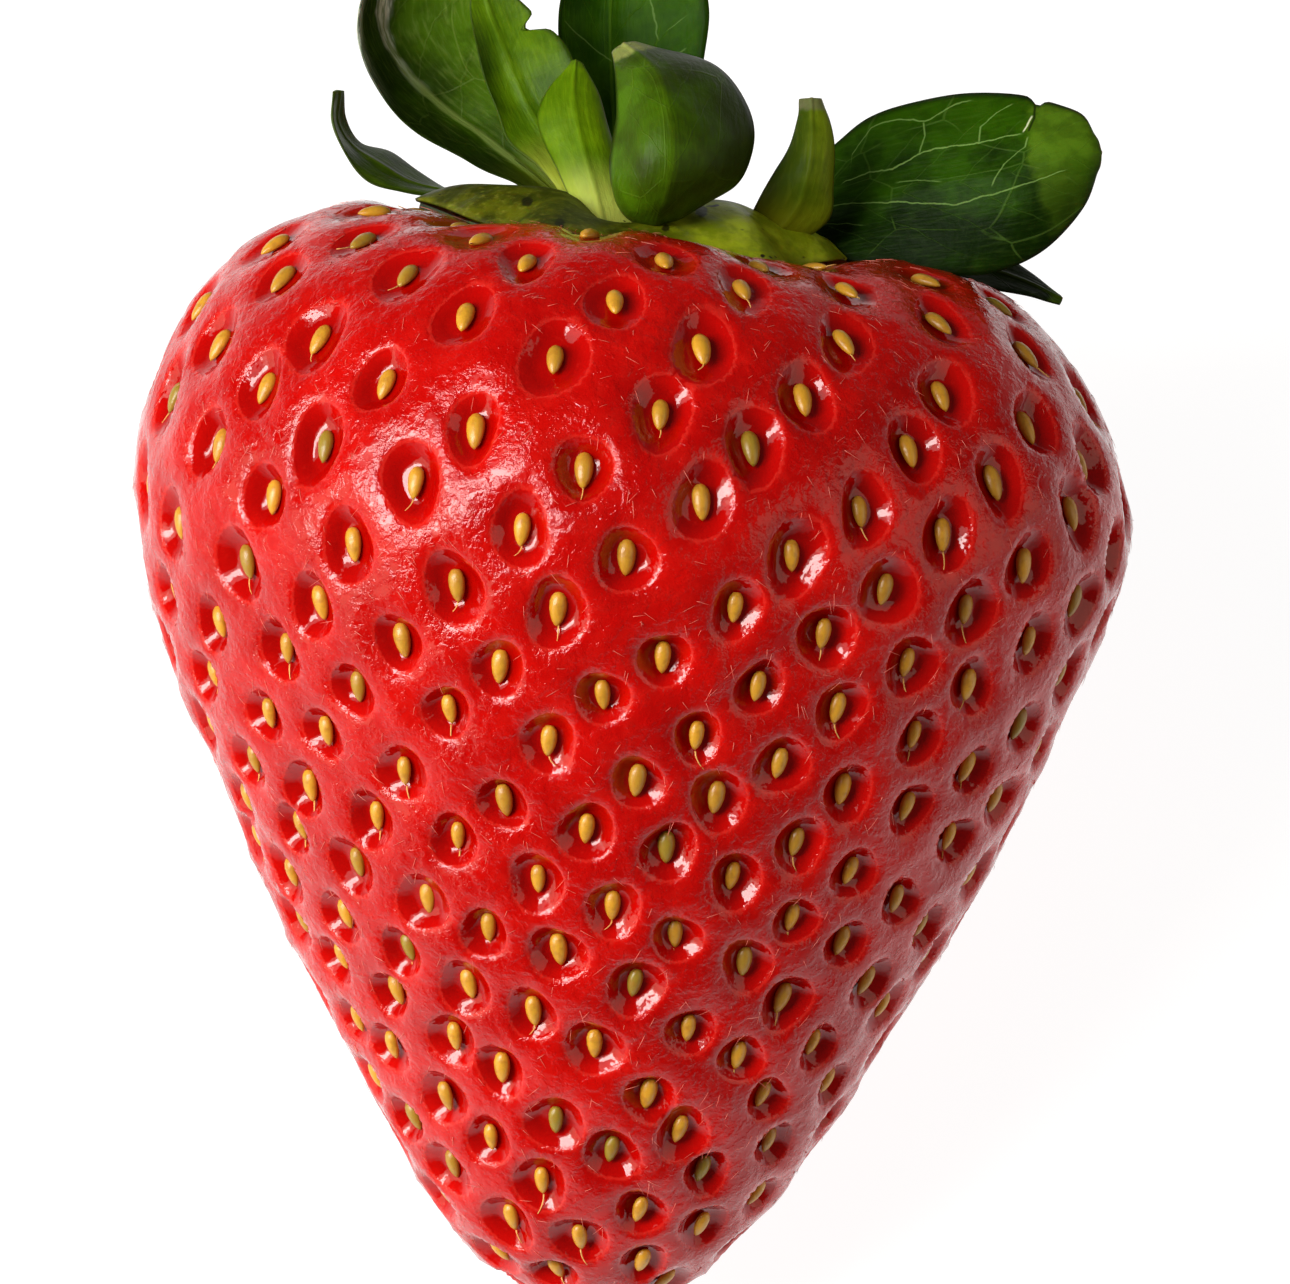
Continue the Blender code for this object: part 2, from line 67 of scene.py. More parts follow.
# Relief of the flesh.
PIT_RADIUS_LOW, PIT_RADIUS_HIGH = 1.17 * MM, 1.42 * MM
PIT_DEPTH_LOW, PIT_DEPTH_HIGH, PIT_DEPTH_TOP = 0.6 * MM, 0.7 * MM, 0.34 * MM
PIT_STRETCH_LOW, PIT_STRETCH_HIGH = 1.05, 1.18  # along the meridian against across it
PIT_SIZES, PIT_DEPTHS = (0.88, 1.1), (0.8, 1.15)  # how much pits differ in radius and in depth
PRESSED_SHARE = 0.25  # how much of its depth a pit keeps where the berry rests
RIM_ROUND = 0.06  # how softly the rim turns over, against the depth
BEND, BEND_SOFT = 0.6, 0.075  # where a pit's floor bends up into its wall, and how softly, in pit radii
FLOOR_RISE = 0.08  # how much of the depth the floor itself rises
PUFF = 0.2 * MM  # how far the flesh swells between the pits
LIP, LIP_AT, LIP_WIDE = 0.045 * MM, 1.1, 0.09  # a fine raised lip round each pit, and its place in pit radii
SWELL, SWELL_SIZE = 0.22 * MM, 7.0 * MM  # slow unevenness of the whole skin
RING_SHARES = [0.26, 0.43, 0.53, 0.6, 0.67, 0.76, 0.87, 0.96, 1.04, 1.14, 1.36, 1.8]
RING_SIDES = 22
RING_ROOM = 0.96  # how near a ring comes to the line half way to the next achene
HOLLOW_PLAIN = 6.6 * MM  # radius of the hollow within which the flesh is smooth
HOLLOW_RINGS = [(8.0, 60), (7.3, 54), (6.6, 48), (5.6, 40), (4.5, 32), (3.3, 24), (2.1, 16), (1.0, 8)]

# Achenes, their dried styles, and the hairs.
ACHENE_LONG, ACHENE_WIDE, ACHENE_THICK = 0.68 * MM, 0.35 * MM, 0.29 * MM
ACHENE_SIDES, ACHENE_RINGS = 12, 8
ACHENE_SIZES = (0.84, 0.95)  # at the middle and at the shoulders
PIT_FLOOR = 0.97  # how deep the pit's floor is, against the pit's depth
STYLE_SHARE = 0.35
STYLE_LENGTHS, STYLE_BEND = (0.35 * MM, 0.8 * MM), 0.35 * MM
STYLE_RADII = (0.04 * MM, 0.018 * MM)
HAIR_COUNT = 5200
HAIR_LENGTHS, HAIR_LEAN = (0.2 * MM, 0.75 * MM), 0.1
HAIR_RADII = (0.010 * MM, 0.010 * MM, 0.008 * MM, 0.004 * MM)
SETTLED = 0.25  # hairs grow only where the skin is less deep in a pit than this

# The calyx.
GAP = 0.36 * MM
DISC_RADIUS, DISC_THICK, DISC_RIM_RISE = 6.3 * MM, 0.6 * MM, 0.1 * MM
DISC_WAVES = (5, 0.06, 0.8)
DISC_SIDES = 96
RIB_RISE = 0.07 * MM
STALK_RADIUS, STALK_LENGTH, STALK_LEAN = 0.95 * MM, 4.0 * MM, 0.5 * MM
STALK_DIP = 0.12 * MM  # how far its cut end sinks in the middle
COLLAR_EDGE = 9.6 * MM  # radius at which the collar meets the flesh
COLLAR_FOOT, COLLAR_SINK = 1.4 * MM, 1.3 * MM  # how far inward and down its foot is from its crest
COLLAR_CREST = 0.3  # where its crest is between its foot and its outer edge
COLLAR_BULGE, COLLAR_HALF, COLLAR_OFF = 0.5 * MM, 0.12 * MM, 0.12 * MM
COLLAR_STEPS, COLLAR_SPLITS = 160, 18
COLLAR = [
    (-200, 4.6, 45.6), (-184, 5.9, 46.7), (-160, 5.5, 47.1), (-135, 4.9, 47.1), (-117, 4.5, 46.6),
    (-103, 4.2, 45.4), (-88, 4.2, 45.3), (-74, 4.6, 46.1), (-48, 5.4, 46.6), (-30, 6.0, 46.0),
    (-12, 6.6, 45.3), (8, 6.8, 44.9), (30, 6.6, 44.6),
]  # its crest: angle round the axis in degrees, radius and height in mm
COLLAR_SPOTS = [(3.35, 46.0, 0.42), (-3.79, 46.4, 0.38), (-2.43, 45.35, 0.36), (1.9, 45.2, 0.3)]  # in mm
BLADE_STEPS, BLADE_SPLITS = 96, 40
BLADE_HALF, MIDRIB_HALF, MIDRIB_WIDE = 0.14 * MM, 0.10 * MM, 0.12
BLADE_WAVE, WAVE_SIZE = 0.13 * MM, 2.2 * MM
LINE_FADE = 0.02  # how softly a drawn vein ends

# The sepals and bractlets, by three lines of points in tenths of a mm in the berry's frame, each from the
# claw to the tip: the left edge, the midrib and the right edge.
LEAVES = {
    "sepal_left": [
        [(-25, 2, 463), (-42, -2, 475), (-62, -7, 484), (-84, -10, 496), (-101, -12, 515), (-108, -11, 536),
         (-106, -8, 556), (-95, -4, 571)],
        [(-21, 14, 465), (-39, 18, 481), (-57, 21, 495), (-76, 22, 509), (-91, 20, 524), (-100, 15, 541),
         (-99, 8, 559), (-92, -1, 572)],
        [(-17, 10, 467), (-27, 12, 490), (-33, 10, 511), (-40, 6, 530), (-50, 2, 547), (-62, -1, 561),
         (-75, -2, 570), (-87, -1, 573)],
    ],
    "sepal_front_left": [
        [(-22, -23, 453), (-24, -28, 468), (-34, -26, 481), (-46, -20, 492), (-52, -16, 507), (-58, -14, 526),
         (-62, -15, 545), (-61, -13, 562)],
        [(-13, -30, 453), (-15, -30, 467), (-22, -24, 482), (-32, -16, 496), (-40, -10, 511), (-47, -9, 528),
         (-54, -12, 547), (-59, -13, 563)],
        [(6, -30, 452), (3, -30, 465), (-5, -24, 480), (-11, -20, 496), (-16, -18, 512), (-21, -17, 530),
         (-33, -16, 543), (-56, -12, 564)],
    ],
    "sepal_back": [
        [(-7, 16, 459), (-13, 24, 478), (-19, 31, 504), (-24, 36, 530), (-25, 38, 553), (-18, 35, 574),
         (-3, 29, 589)],
        [(1, 20, 459), (-1, 32, 479), (-3, 42, 505), (-4, 48, 530), (-4, 50, 554), (-2, 46, 575),
         (0, 34, 591)],
        [(8, 16, 459), (17, 24, 478), (28, 30, 504), (35, 34, 529), (37, 35, 553), (29, 33, 574),
         (5, 29, 590)],
    ],
    "sepal_front": [
        [(4, -30, 460), (-1, -56, 463), (-3, -76, 473), (-3, -83, 486), (-1, -80, 500), (-1, -69, 515),
         (-3, -58, 526)],
        [(12, -30, 457), (14, -64, 456), (17, -92, 462), (21, -104, 478), (20, -100, 498), (15, -84, 516),
         (2, -62, 529)],
        [(20, -32, 457), (28, -56, 461), (47, -64, 472), (55, -69, 488), (52, -67, 504), (38, -61, 521),
         (8, -58, 530)],
    ],
    "sepal_right": [
        [(42, 10, 455), (63, 9, 466), (84, 2, 487), (103, -4, 502), (127, -10, 510), (152, -18, 512),
         (174, -26, 509), (190, -33, 503), (196, -37, 493)],
        [(43, 2, 452), (68, 0, 458), (90, -11, 464), (111, -21, 469), (134, -30, 473), (156, -38, 476),
         (176, -43, 481), (192, -43, 485), (198, -40, 486)],
        [(44, -9, 448), (69, -15, 447), (90, -23, 443), (108, -30, 440), (131, -34, 436), (154, -36, 437),
         (175, -38, 446), (191, -40, 463), (197, -40, 479)],
    ],
    "sepal_back_right": [
        [(14, 36, 453), (18, 69, 467), (30, 104, 469), (49, 134, 461), (76, 154, 449)],
        [(25, 32, 454), (38, 65, 464), (56, 100, 465), (70, 131, 457), (80, 153, 448)],
        [(36, 28, 455), (61, 58, 465), (83, 86, 466), (92, 120, 459), (84, 150, 448)],
    ],
    "sepal_back_left": [
        [(-34, 26, 459), (-58, 56, 472), (-79, 88, 478), (-87, 120, 470), (-78, 150, 457)],
        [(-24, 32, 456), (-36, 63, 469), (-50, 96, 474), (-64, 128, 467), (-74, 152, 456)],
        [(-14, 36, 455), (-16, 69, 470), (-23, 106, 476), (-42, 136, 468), (-69, 154, 456)],
    ],
    "bractlet_left": [
        [(-33, -20, 458), (-51, -18, 465), (-69, -14, 469), (-89, -18, 471), (-104, -20, 475),
         (-114, -18, 487), (-119, -15, 501), (-119, -13, 513)],
        [(-33, -5, 458), (-50, -4, 466), (-68, -3, 471), (-88, -7, 475), (-101, -7, 482), (-112, -4, 491),
         (-118, -6, 502), (-117, -8, 514)],
        [(-33, 10, 460), (-50, 11, 467), (-67, 9, 472), (-84, 10, 481), (-96, 11, 489), (-108, 6, 493),
         (-114, 0, 503), (-115, -4, 514)],
    ],
    "bractlet_front": [
        [(-21, -53, 450), (-18, -44, 461), (-23, -39, 475), (-31, -34, 490), (-34, -30, 502), (-29, -26, 514),
         (-20, -24, 524)],
        [(-7, -58, 450), (-8, -49, 461), (-11, -47, 474), (-15, -43, 488), (-18, -37, 501), (-19, -31, 513),
         (-18, -25, 525)],
        [(8, -54, 450), (5, -45, 461), (3, -43, 472), (-1, -40, 484), (-5, -34, 498), (-9, -29, 512),
         (-15, -25, 523)],
    ],
    "bractlet_right": [
        [(46, -29, 448), (53, -36, 459), (58, -41, 468), (64, -44, 478), (70, -45, 489), (73, -44, 500),
         (74, -42, 508)],
        [(51, -31, 444), (64, -39, 453), (73, -46, 463), (77, -52, 475), (79, -52, 488), (79, -49, 500),
         (79, -46, 508)],
        [(56, -26, 442), (74, -33, 450), (86, -39, 459), (88, -45, 471), (88, -47, 486), (86, -46, 499),
         (83, -43, 508)],
    ],
    "bractlet_low_right": [
        [(49, 26, 449), (78, 28, 454), (105, 29, 456), (130, 24, 454), (153, 14, 449), (171, 6, 439),
         (183, 1, 429)],
        [(49, 20, 445), (78, 19, 449), (104, 17, 449), (129, 11, 446), (152, 3, 440), (171, -1, 433),
         (184, -1, 427)],
        [(49, 15, 443), (78, 12, 445), (104, 7, 443), (129, 0, 439), (152, -8, 432), (170, -8, 428),
         (183, -4, 425)],
    ],
    "bractlet_back": [
        [(-3, 42, 453), (-6, 74, 468), (-4, 106, 468), (10, 134, 459)],
        [(2, 42, 453), (5, 74, 465), (9, 104, 465), (13, 134, 458)],
        [(7, 42, 453), (12, 74, 466), (18, 102, 466), (16, 133, 458)],
    ],
}
CREASES = {"sepal_left": 0.3}  # how sharply a leaf folds along its midrib
NOTCHES = {
    "sepal_front_left": (0.76, 0.022, 0.5, 1),
    "sepal_right": (0.828, 0.014, 0.1, -1),
}  # where along the leaf, how long, how deep, and -1 for the left edge or 1 for the right


# The smooth berry


def smooth_curve(points, steps):
    """A Catmull-Rom curve through the points. The first and the last point only steer it."""
    p = np.array(points, float)
    t = np.linspace(0, 1, steps, endpoint=False)[:, None]
    spans = []
    for a, b, c, d in zip(p, p[1:], p[2:], p[3:]):
        spans.append(
            b + 0.5 * t * (c - a) + t**2 * (a - 2.5 * b + 2 * c - 0.5 * d)
            + t**3 * (1.5 * b - 1.5 * c + 0.5 * d - 0.5 * a)
        )
    return np.concatenate([*spans, p[-2:-1]])


def ease(x):
    """0 below 0, 1 above 1 and a smooth rise between."""
    x = np.clip(x, 0, 1)
    return x * x * (3 - 2 * x)


def length_along(curve):
    """The length of the curve up to each of its points."""
    return np.concatenate([[0], np.cumsum(np.linalg.norm(np.diff(curve, axis=0), axis=1))])


def meridian():
    """The outline as arrays from the tip to the hollow: length along it, radius, height, and the
    coordinate in which the surface unrolls on to a plane with its angles kept."""
    points = [(x * MM, z * MM) for x, z in OUTLINE]
    before, after = (-points[1][0], points[1][1]), (-points[-2][0], points[-2][1])
    curve = smooth_curve([before, *points, after], 120)
    along = length_along(curve)
    radius = np.maximum(curve[:, 0], 1e-3 * MM)
    per_step = np.diff(along) * 2 / (radius[1:] + radius[:-1])
    return along, radius, curve[:, 1], np.concatenate([[0], np.cumsum(per_step)])


ALONG, RADIUS, HEIGHT, UNROLLED = meridian()
WIDEST = ALONG[np.argmax(RADIUS)]


def skin(along, angle):
    """Points of the smooth berry, without pits, at lengths along the outline and angles round the axis."""
    r = np.interp(along, ALONG, RADIUS)
    z = np.interp(along, ALONG, HEIGHT)
    dropped = ease((z - DROP_FROM) / (DROP_TO - DROP_FROM))
    lobes = sum(share * np.cos(n * angle + phase) for n, share, phase in LOBES)
    wide = r * (1 + lobes * ease(z / SWAY_HEIGHT))
    crest = sum(rise * np.cos(n * angle + phase) for n, rise, phase in CREST_LOBES)
    sway = TIP_SWAY * np.maximum(0, 1 - z / SWAY_HEIGHT) ** 1.5
    return np.stack(
        [
            AXIS_SHIFT - sway + wide * np.cos(angle),
            DEPTH_SHARE * wide * np.sin(angle),
            z - SHOULDER_DROP * dropped * np.cos(angle) * r / np.hypot(r, DROP_SOFTEN)
            + crest * ease(r / CREST_RADIUS) * dropped,
        ],
        axis=-1,
    )


def frame_at(along, angle):
    """Unit vectors of the smooth berry there: up the meridian, round the axis, and outward."""
    step = 0.05 * MM
    along = np.clip(along, 2 * step, ALONG[-1] - 2 * step)
    turn = step / np.interp(along, ALONG, RADIUS)
    up = skin(along + step, angle) - skin(along - step, angle)
    round_ = skin(along, angle + turn) - skin(along, angle - turn)
    normal = np.cross(round_, up)
    return tuple(v / np.linalg.norm(v, axis=-1, keepdims=True) for v in (up, round_, normal))


def unrolled(along, angle):
    """The place on the plane, as a complex number, and the plane's scale there."""
    far = np.exp(np.interp(along, ALONG, UNROLLED) - np.interp(WIDEST, ALONG, UNROLLED))
    return far * np.exp(1j * angle), far / np.interp(along, ALONG, RADIUS)


def rolled_up(place):
    """The length along the outline and the angle of a place on the plane."""
    u = np.log(np.abs(place)) + np.interp(WIDEST, ALONG, UNROLLED)
    return np.interp(u, UNROLLED, ALONG), np.angle(place)


def rest_point():
    """The point of the smooth berry that comes lowest once it lies on its flank, and the turn to lay it."""
    turn = Matrix.Rotation(LEAN - math.pi / 2, 3, "X")
    back = skin(ALONG, np.full(len(ALONG), math.pi / 2))
    heights = back @ np.array(turn)[2]
    return back[np.argmin(heights)], turn


REST = rest_point()


def in_hollow(radius):
    """The length along the outline at which the hollow has that radius."""
    inside = ALONG > WIDEST
    return np.interp(-radius, -RADIUS[inside], ALONG[inside])


def laid(points):
    """Points of the berry's frame, with the berry on its flank and the flat spot at the origin."""
    lowest, turn = REST
    placed = (np.asarray(points) - lowest) @ np.array(turn).T
    return placed - np.array([0, 0, FLAT_PRESS])


def over_floor(points):
    """Points with those under the floor lifted to it."""
    points = laid(points)
    points[:, 2] = np.maximum(points[:, 2], 0)
    return points


def achene_sites():
    """(length along the outline, angle) of each achene: a golden-angle spiral from the tip to the
    shoulders, wobbled, in which each has its share of the surface."""
    share = np.interp(HEIGHT, [0, MIDDLE_HEIGHT, TOP_HEIGHT], [SHARE_AT_TIP, SHARE_AT_MIDDLE, SHARE_AT_TOP])
    step = np.diff(ALONG) * math.pi * (RADIUS[1:] + RADIUS[:-1]) / share[1:]
    count = np.concatenate([[0], np.cumsum(step)])
    inner = np.argmax((ALONG > WIDEST) & (RADIUS < PLAIN_RADIUS))
    number = np.arange(int(count[inner]))
    wobble = np.random.default_rng(SITE_SEED).uniform(-SITE_WOBBLE, SITE_WOBBLE, (len(number), 2))
    along = np.interp(number + 0.5, count, ALONG) + wobble[:, 0]
    angle = number * GOLDEN_ANGLE + wobble[:, 1] / np.interp(along, ALONG, RADIUS)
    return along, angle


# The relief of the flesh


class Sites:
    """The achenes: where each sits on the smooth skin, the directions there, and its pit's size."""

    def __init__(self):
        self.along, self.angle = achene_sites()
        self.place, self.zoom = unrolled(self.along, self.angle)
        self.at = skin(self.along, self.angle)
        self.up, self.side, self.out = frame_at(self.along, self.angle)
        rng = np.random.default_rng(PIT_SEED)
        count = len(self.along)
        height = self.at[:, 2]
        levels = [MIDDLE_HEIGHT, TOP_HEIGHT]
        depths = [PIT_DEPTH_LOW, PIT_DEPTH_HIGH, PIT_DEPTH_TOP]
        self.radius = np.interp(height, levels, [PIT_RADIUS_LOW, PIT_RADIUS_HIGH])
        self.radius *= rng.uniform(*PIT_SIZES, count)
        self.depth = np.interp(height, [*levels, CREST_HEIGHT], depths) * rng.uniform(*PIT_DEPTHS, count)
        self.stretch = np.interp(height, levels, [PIT_STRETCH_LOW, PIT_STRETCH_HIGH])
        self.phase = rng.uniform(0, 2 * math.pi, (count, 2))
        pressed = np.linalg.norm(laid(self.at), axis=1) < REST_PLAIN
        self.depth[pressed] *= PRESSED_SHARE
        self.shade = rng.uniform(0, 1, count)

    def near(self, points, how_many):
        """The nearest sites of each point, nearest first: their numbers and distances."""
        numbers, distances = [], []
        for some in np.array_split(points, max(1, len(points) // 4000)):
            away = np.linalg.norm(some[:, None] - self.at[None], axis=2)
            best = np.argpartition(away, how_many, axis=1)[:, :how_many]
            order = np.argsort(np.take_along_axis(away, best, 1), axis=1)
            best = np.take_along_axis(best, order, 1)
            numbers.append(best)
            distances.append(np.take_along_axis(away, best, 1))
        return np.concatenate(numbers), np.concatenate(distances)


def pit_profile(x):
    """Depth of a pit, 1 in its middle and 0 outside, at x pit radii from its middle: a flat floor, a
    bend into a steep wall, and a rim that turns over crisply."""
    bent = BEND_SOFT * np.log1p(np.exp(np.clip((x - BEND) / BEND_SOFT, -30, 30)))
    rise = FLOOR_RISE * x**2 + (1 - FLOOR_RISE) * bent / (1 - BEND)
    left = np.clip((1 - rise) / RIM_ROUND, -30, 30)
    return np.clip(RIM_ROUND * np.log1p(np.exp(left)), 0, 1)


def relief(points, sites):
    """The height of the flesh over the smooth skin at points on it, and how deep in a pit each lies."""
    numbers, _ = sites.near(points, 3)
    deepest = np.zeros(len(points))
    height = np.zeros(len(points))
    rim = np.full(len(points), 9.0)
    for k in range(3):
        n = numbers[:, k]
        away = points - sites.at[n]
        up = np.einsum("ij,ij->i", away, sites.up[n]) / sites.stretch[n]
        side = np.einsum("ij,ij->i", away, sites.side[n]) * sites.stretch[n] ** 0.5
        angle = np.arctan2(side, up)
        uneven = 0.07 * np.cos(2 * angle + sites.phase[n, 0]) + 0.05 * np.cos(3 * angle + sites.phase[n, 1])
        x = np.hypot(up, side) / (sites.radius[n] * (1 + uneven))
        pit = pit_profile(x)
        height -= sites.depth[n] * pit
        deepest = np.maximum(deepest, pit)
        rim = np.minimum(rim, x)
    height += PUFF * ease((rim - 0.95) / 0.9) + LIP * np.exp(-(((rim - LIP_AT) / LIP_WIDE) ** 2))
    slow = [noise.noise(Vector(p) / SWELL_SIZE) for p in points]
    fine = [noise.noise(Vector(p) / (0.3 * SWELL_SIZE) + Vector((7, 1, 3))) for p in points]
    swell = SWELL * np.array(slow) + 0.18 * SWELL * np.array(fine)
    return height + swell, deepest


def flesh_places(sites):
    """Places on the plane for the flesh's vertices: rings round each achene, cut off half way to its
    neighbours, corners between them, and rings in the hollow."""
    owners, places = [], []
    for k, share in enumerate(RING_SHARES):
        for i in range(RING_SIDES):
            turn = cmath.exp(2j * math.pi * (i + 0.5 * (k % 2)) / RING_SIDES)
            heading = sites.place / np.abs(sites.place) * turn
            stretch = 1 + (sites.stretch - 1) * turn.real**2
            places.append(sites.place + heading * sites.zoom * sites.radius * share * stretch)
            owners.append(np.arange(len(sites.place)))
    places, owners = np.concatenate(places), np.concatenate(owners)
    at = skin(*rolled_up(places))
    numbers, away = sites.near(at, 2)
    own = np.linalg.norm(at - sites.at[owners], axis=1)
    other = np.where(numbers[:, 0] == owners, away[:, 1], away[:, 0])
    edge = in_hollow(HOLLOW_RINGS[0][0] * MM)
    kept = (own < RING_ROOM * other) & (rolled_up(places)[0] < edge - 0.15 * MM)
    places = [places[kept], sites.place]
    for radius, sides in HOLLOW_RINGS:
        places.append(unrolled(in_hollow(radius * MM), 2 * math.pi * np.arange(sides) / sides)[0])
    return np.concatenate(places)


def make_flesh(sites):
    """The berry's flesh with its pits, pressed flat where it rests."""
    places = flesh_places(sites)
    flat = [Vector((w.real, w.imag)) for w in places]
    found, _, faces, source, *_ = delaunay_2d_cdt(flat, [], [], 0, 0, True)
    places = np.array([places[ids[0]] for ids in source])
    along, angle = rolled_up(places)
    smooth = skin(along, angle)
    height, depth = relief(smooth, sites)
    inner = np.where(along > WIDEST, np.interp(along, ALONG, RADIUS), RADIUS.max())
    height *= ease((inner - HOLLOW_PLAIN) / (1.2 * MM))
    shaped = smooth + frame_at(along, angle)[2] * height[:, None]
    shaped = laid(np.concatenate([shaped, skin(ALONG[-1:], np.zeros(1))]))
    shaped[:, 2] = np.maximum(shaped[:, 2], 0)
    sides = {(a, b) for face in faces for a, b in zip(face, [*face[1:], face[0]])}
    faces = [*faces, *((b, a, len(found)) for a, b in sorted(sides) if (b, a) not in sides)]
    flesh = solid("flesh", shaped, faces)
    paint(flesh, "pit", np.append(depth, 0))
    paint(flesh, "height", np.append(smooth[:, 2], HEIGHT[-1]) / MM / 50)
    paint(flesh, "from_axis", np.append(np.hypot(smooth[:, 0] - AXIS_SHIFT, smooth[:, 1]), 0) / MM / 25)
    return flesh


# Making objects


def solid(name, points, faces):
    """A smooth-shaded object with these points and faces, its faces pointing out."""
    mesh = bpy.data.meshes.new(name)
    mesh.from_pydata([tuple(p) for p in points], [], [tuple(f) for f in faces])
    work = bmesh.new()
    work.from_mesh(mesh)
    bmesh.ops.recalc_face_normals(work, faces=work.faces)
    work.to_mesh(mesh)
    work.free()
    mesh.shade_smooth()
    made = bpy.data.objects.new(name, mesh)
    bpy.context.scene.collection.objects.link(made)
    return made


def paint(thing, name, values):
    """Keeps one number for each vertex of the object, for its material."""
    kept = thing.data.attributes.new(name, "FLOAT", "POINT")
    kept.data.foreach_set("value", np.asarray(values, dtype=np.float32))


def tube(first, rings, count, ends=None):
    """Faces between rings of points, each with that count, the first point numbered first. They are
    joined to an end point at both ends, if those are given."""
    faces = []
    last = first + (rings - 1) * count
    for i in range(count):
        j = (i + 1) % count
        for a in range(first, last, count):
            faces.append((a + i, a + count + i, a + count + j, a + j))
        if ends:
            faces += [(ends[0], first + i, first + j), (ends[1], last + j, last + i)]
    return faces


def on_flesh(sites, n, forward, side, out):
    """A point by its distances from achene n's place: towards the tip, sideways and outward."""
    return sites.at[n] - sites.up[n] * forward + sites.side[n] * side + sites.out[n] * out


def make_achenes(sites):
    """The achenes: small flattened drops, round above and pointed towards the tip."""
    around = np.arange(ACHENE_SIDES) * 2 * math.pi / ACHENE_SIDES
    points, faces, shade = [], [], []
    for n in range(len(sites.at)):
        first = len(points)
        size = np.interp(sites.at[n, 2], [MIDDLE_HEIGHT, TOP_HEIGHT], ACHENE_SIZES)
        size += 0.16 * (7.3 * sites.shade[n] % 1)
        long = ACHENE_LONG * size
        floor = -sites.depth[n] * PIT_FLOOR + 0.12 * MM
        tilt = 0.12 * math.sin(7 * sites.phase[n, 0])
        for k in range(1, ACHENE_RINGS):
            t = math.pi * k / ACHENE_RINGS
            forward = -math.cos(t) * long
            wide = math.sin(t) ** 0.9 * (1 - 0.22 * math.cos(math.pi - t)) * size
            for a in around:
                side = math.cos(a) * wide * ACHENE_WIDE
                out = math.sin(a) * wide * ACHENE_THICK * (1.0 if math.sin(a) > 0 else 0.6)
                turned = (forward + side * tilt, side - forward * tilt)
                points.append(on_flesh(sites, n, *turned, floor + out + 0.1 * forward))
        ends = [len(points), len(points) + 1]
        points.append(on_flesh(sites, n, -long, long * tilt, floor))
        points.append(on_flesh(sites, n, long * 1.08, -long * tilt, floor + 0.08 * MM))
        faces += tube(first, ACHENE_RINGS - 1, ACHENE_SIDES, ends)
        shade += [sites.shade[n]] * (len(points) - first)
    achenes = solid("achenes", over_floor(points), faces)
    paint(achenes, "shade", shade)
    return achenes


def thread(points, radii, sides=3):
    """Points and faces of a thin thread along a line of points, closed at both ends."""
    points = np.asarray(points)
    forward = np.gradient(points, axis=0)
    forward /= np.linalg.norm(forward, axis=1, keepdims=True)
    helper = np.array([0.3, 0.2, 0.93])
    across = np.cross(forward, helper)
    across /= np.linalg.norm(across, axis=1, keepdims=True)
    other = np.cross(forward, across)
    made = []
    for k, radius in enumerate(radii):
        for i in range(sides):
            a = 2 * math.pi * i / sides
            made.append(points[k] + radius * (math.cos(a) * across[k] + math.sin(a) * other[k]))
    last = len(made) - sides
    return made, [*tube(0, len(radii), sides), tuple(range(sides)), tuple(range(len(made) - 1, last - 1, -1))]


def threads(name, lines):
    """One object of many threads, each given as (points, radii)."""
    points, faces = [], []
    for line, radii in lines:
        more, sides = thread(line, radii)
        faces += [tuple(len(points) + i for i in face) for face in sides]
        points += more
    return solid(name, points, faces)


def make_styles(sites):
    """The dried styles: a fine thread from the lower end of about a third of the achenes, over the wall of
    the pit.
    """
    rng = np.random.default_rng(STYLE_SEED)
    lines = []
    for n in range(len(sites.at)):
        if rng.random() > STYLE_SHARE or laid(sites.at[n])[2] < 1.5 * MM:
            continue
        floor = -sites.depth[n] * PIT_FLOOR + 0.2 * MM
        length = rng.uniform(*STYLE_LENGTHS)
        bend = rng.uniform(-STYLE_BEND, STYLE_BEND)
        start = ACHENE_LONG * 0.98
        line = []
        for t in np.linspace(0, 1, 5):
            rise = floor + 0.75 * sites.depth[n] * t * length / MM
            line.append(on_flesh(sites, n, start + length * t, bend * t * t, rise))
        lines.append((laid(line), np.linspace(*STYLE_RADII, 5)))
    return threads("styles", lines)


def make_hairs(sites):
    """Fine short hairs that lie nearly flat on the flesh, thickest on the shoulders."""
    rng = np.random.default_rng(HAIR_SEED)
    along = np.interp(rng.uniform(0, 1, HAIR_COUNT) ** 0.75, [0, 1], [4 * MM, ALONG[-1] - 9 * MM])
    angle = rng.uniform(0, 2 * math.pi, HAIR_COUNT)
    start = skin(along, angle)
    base, depth = relief(start, sites)
    up, side, out = frame_at(along, angle)
    lines = []
    for n in np.flatnonzero(depth < SETTLED):
        if laid(start[n])[2] < 0.8 * MM:
            continue
        length = rng.uniform(*HAIR_LENGTHS)
        heading = rng.normal(0, 0.9)
        lean = rng.uniform(0.0, HAIR_LEAN)
        way = -math.cos(heading) * up[n] + math.sin(heading) * side[n]
        steps = np.linspace(0, 1, 4)[:, None]
        rise = base[n] + length * lean * np.sin(steps * 2.2) - 0.02 * MM
        line = start[n] + way * length * steps + out[n] * rise
        lines.append((laid(line), HAIR_RADII))
    return threads("fine_hairs", lines)


# The calyx


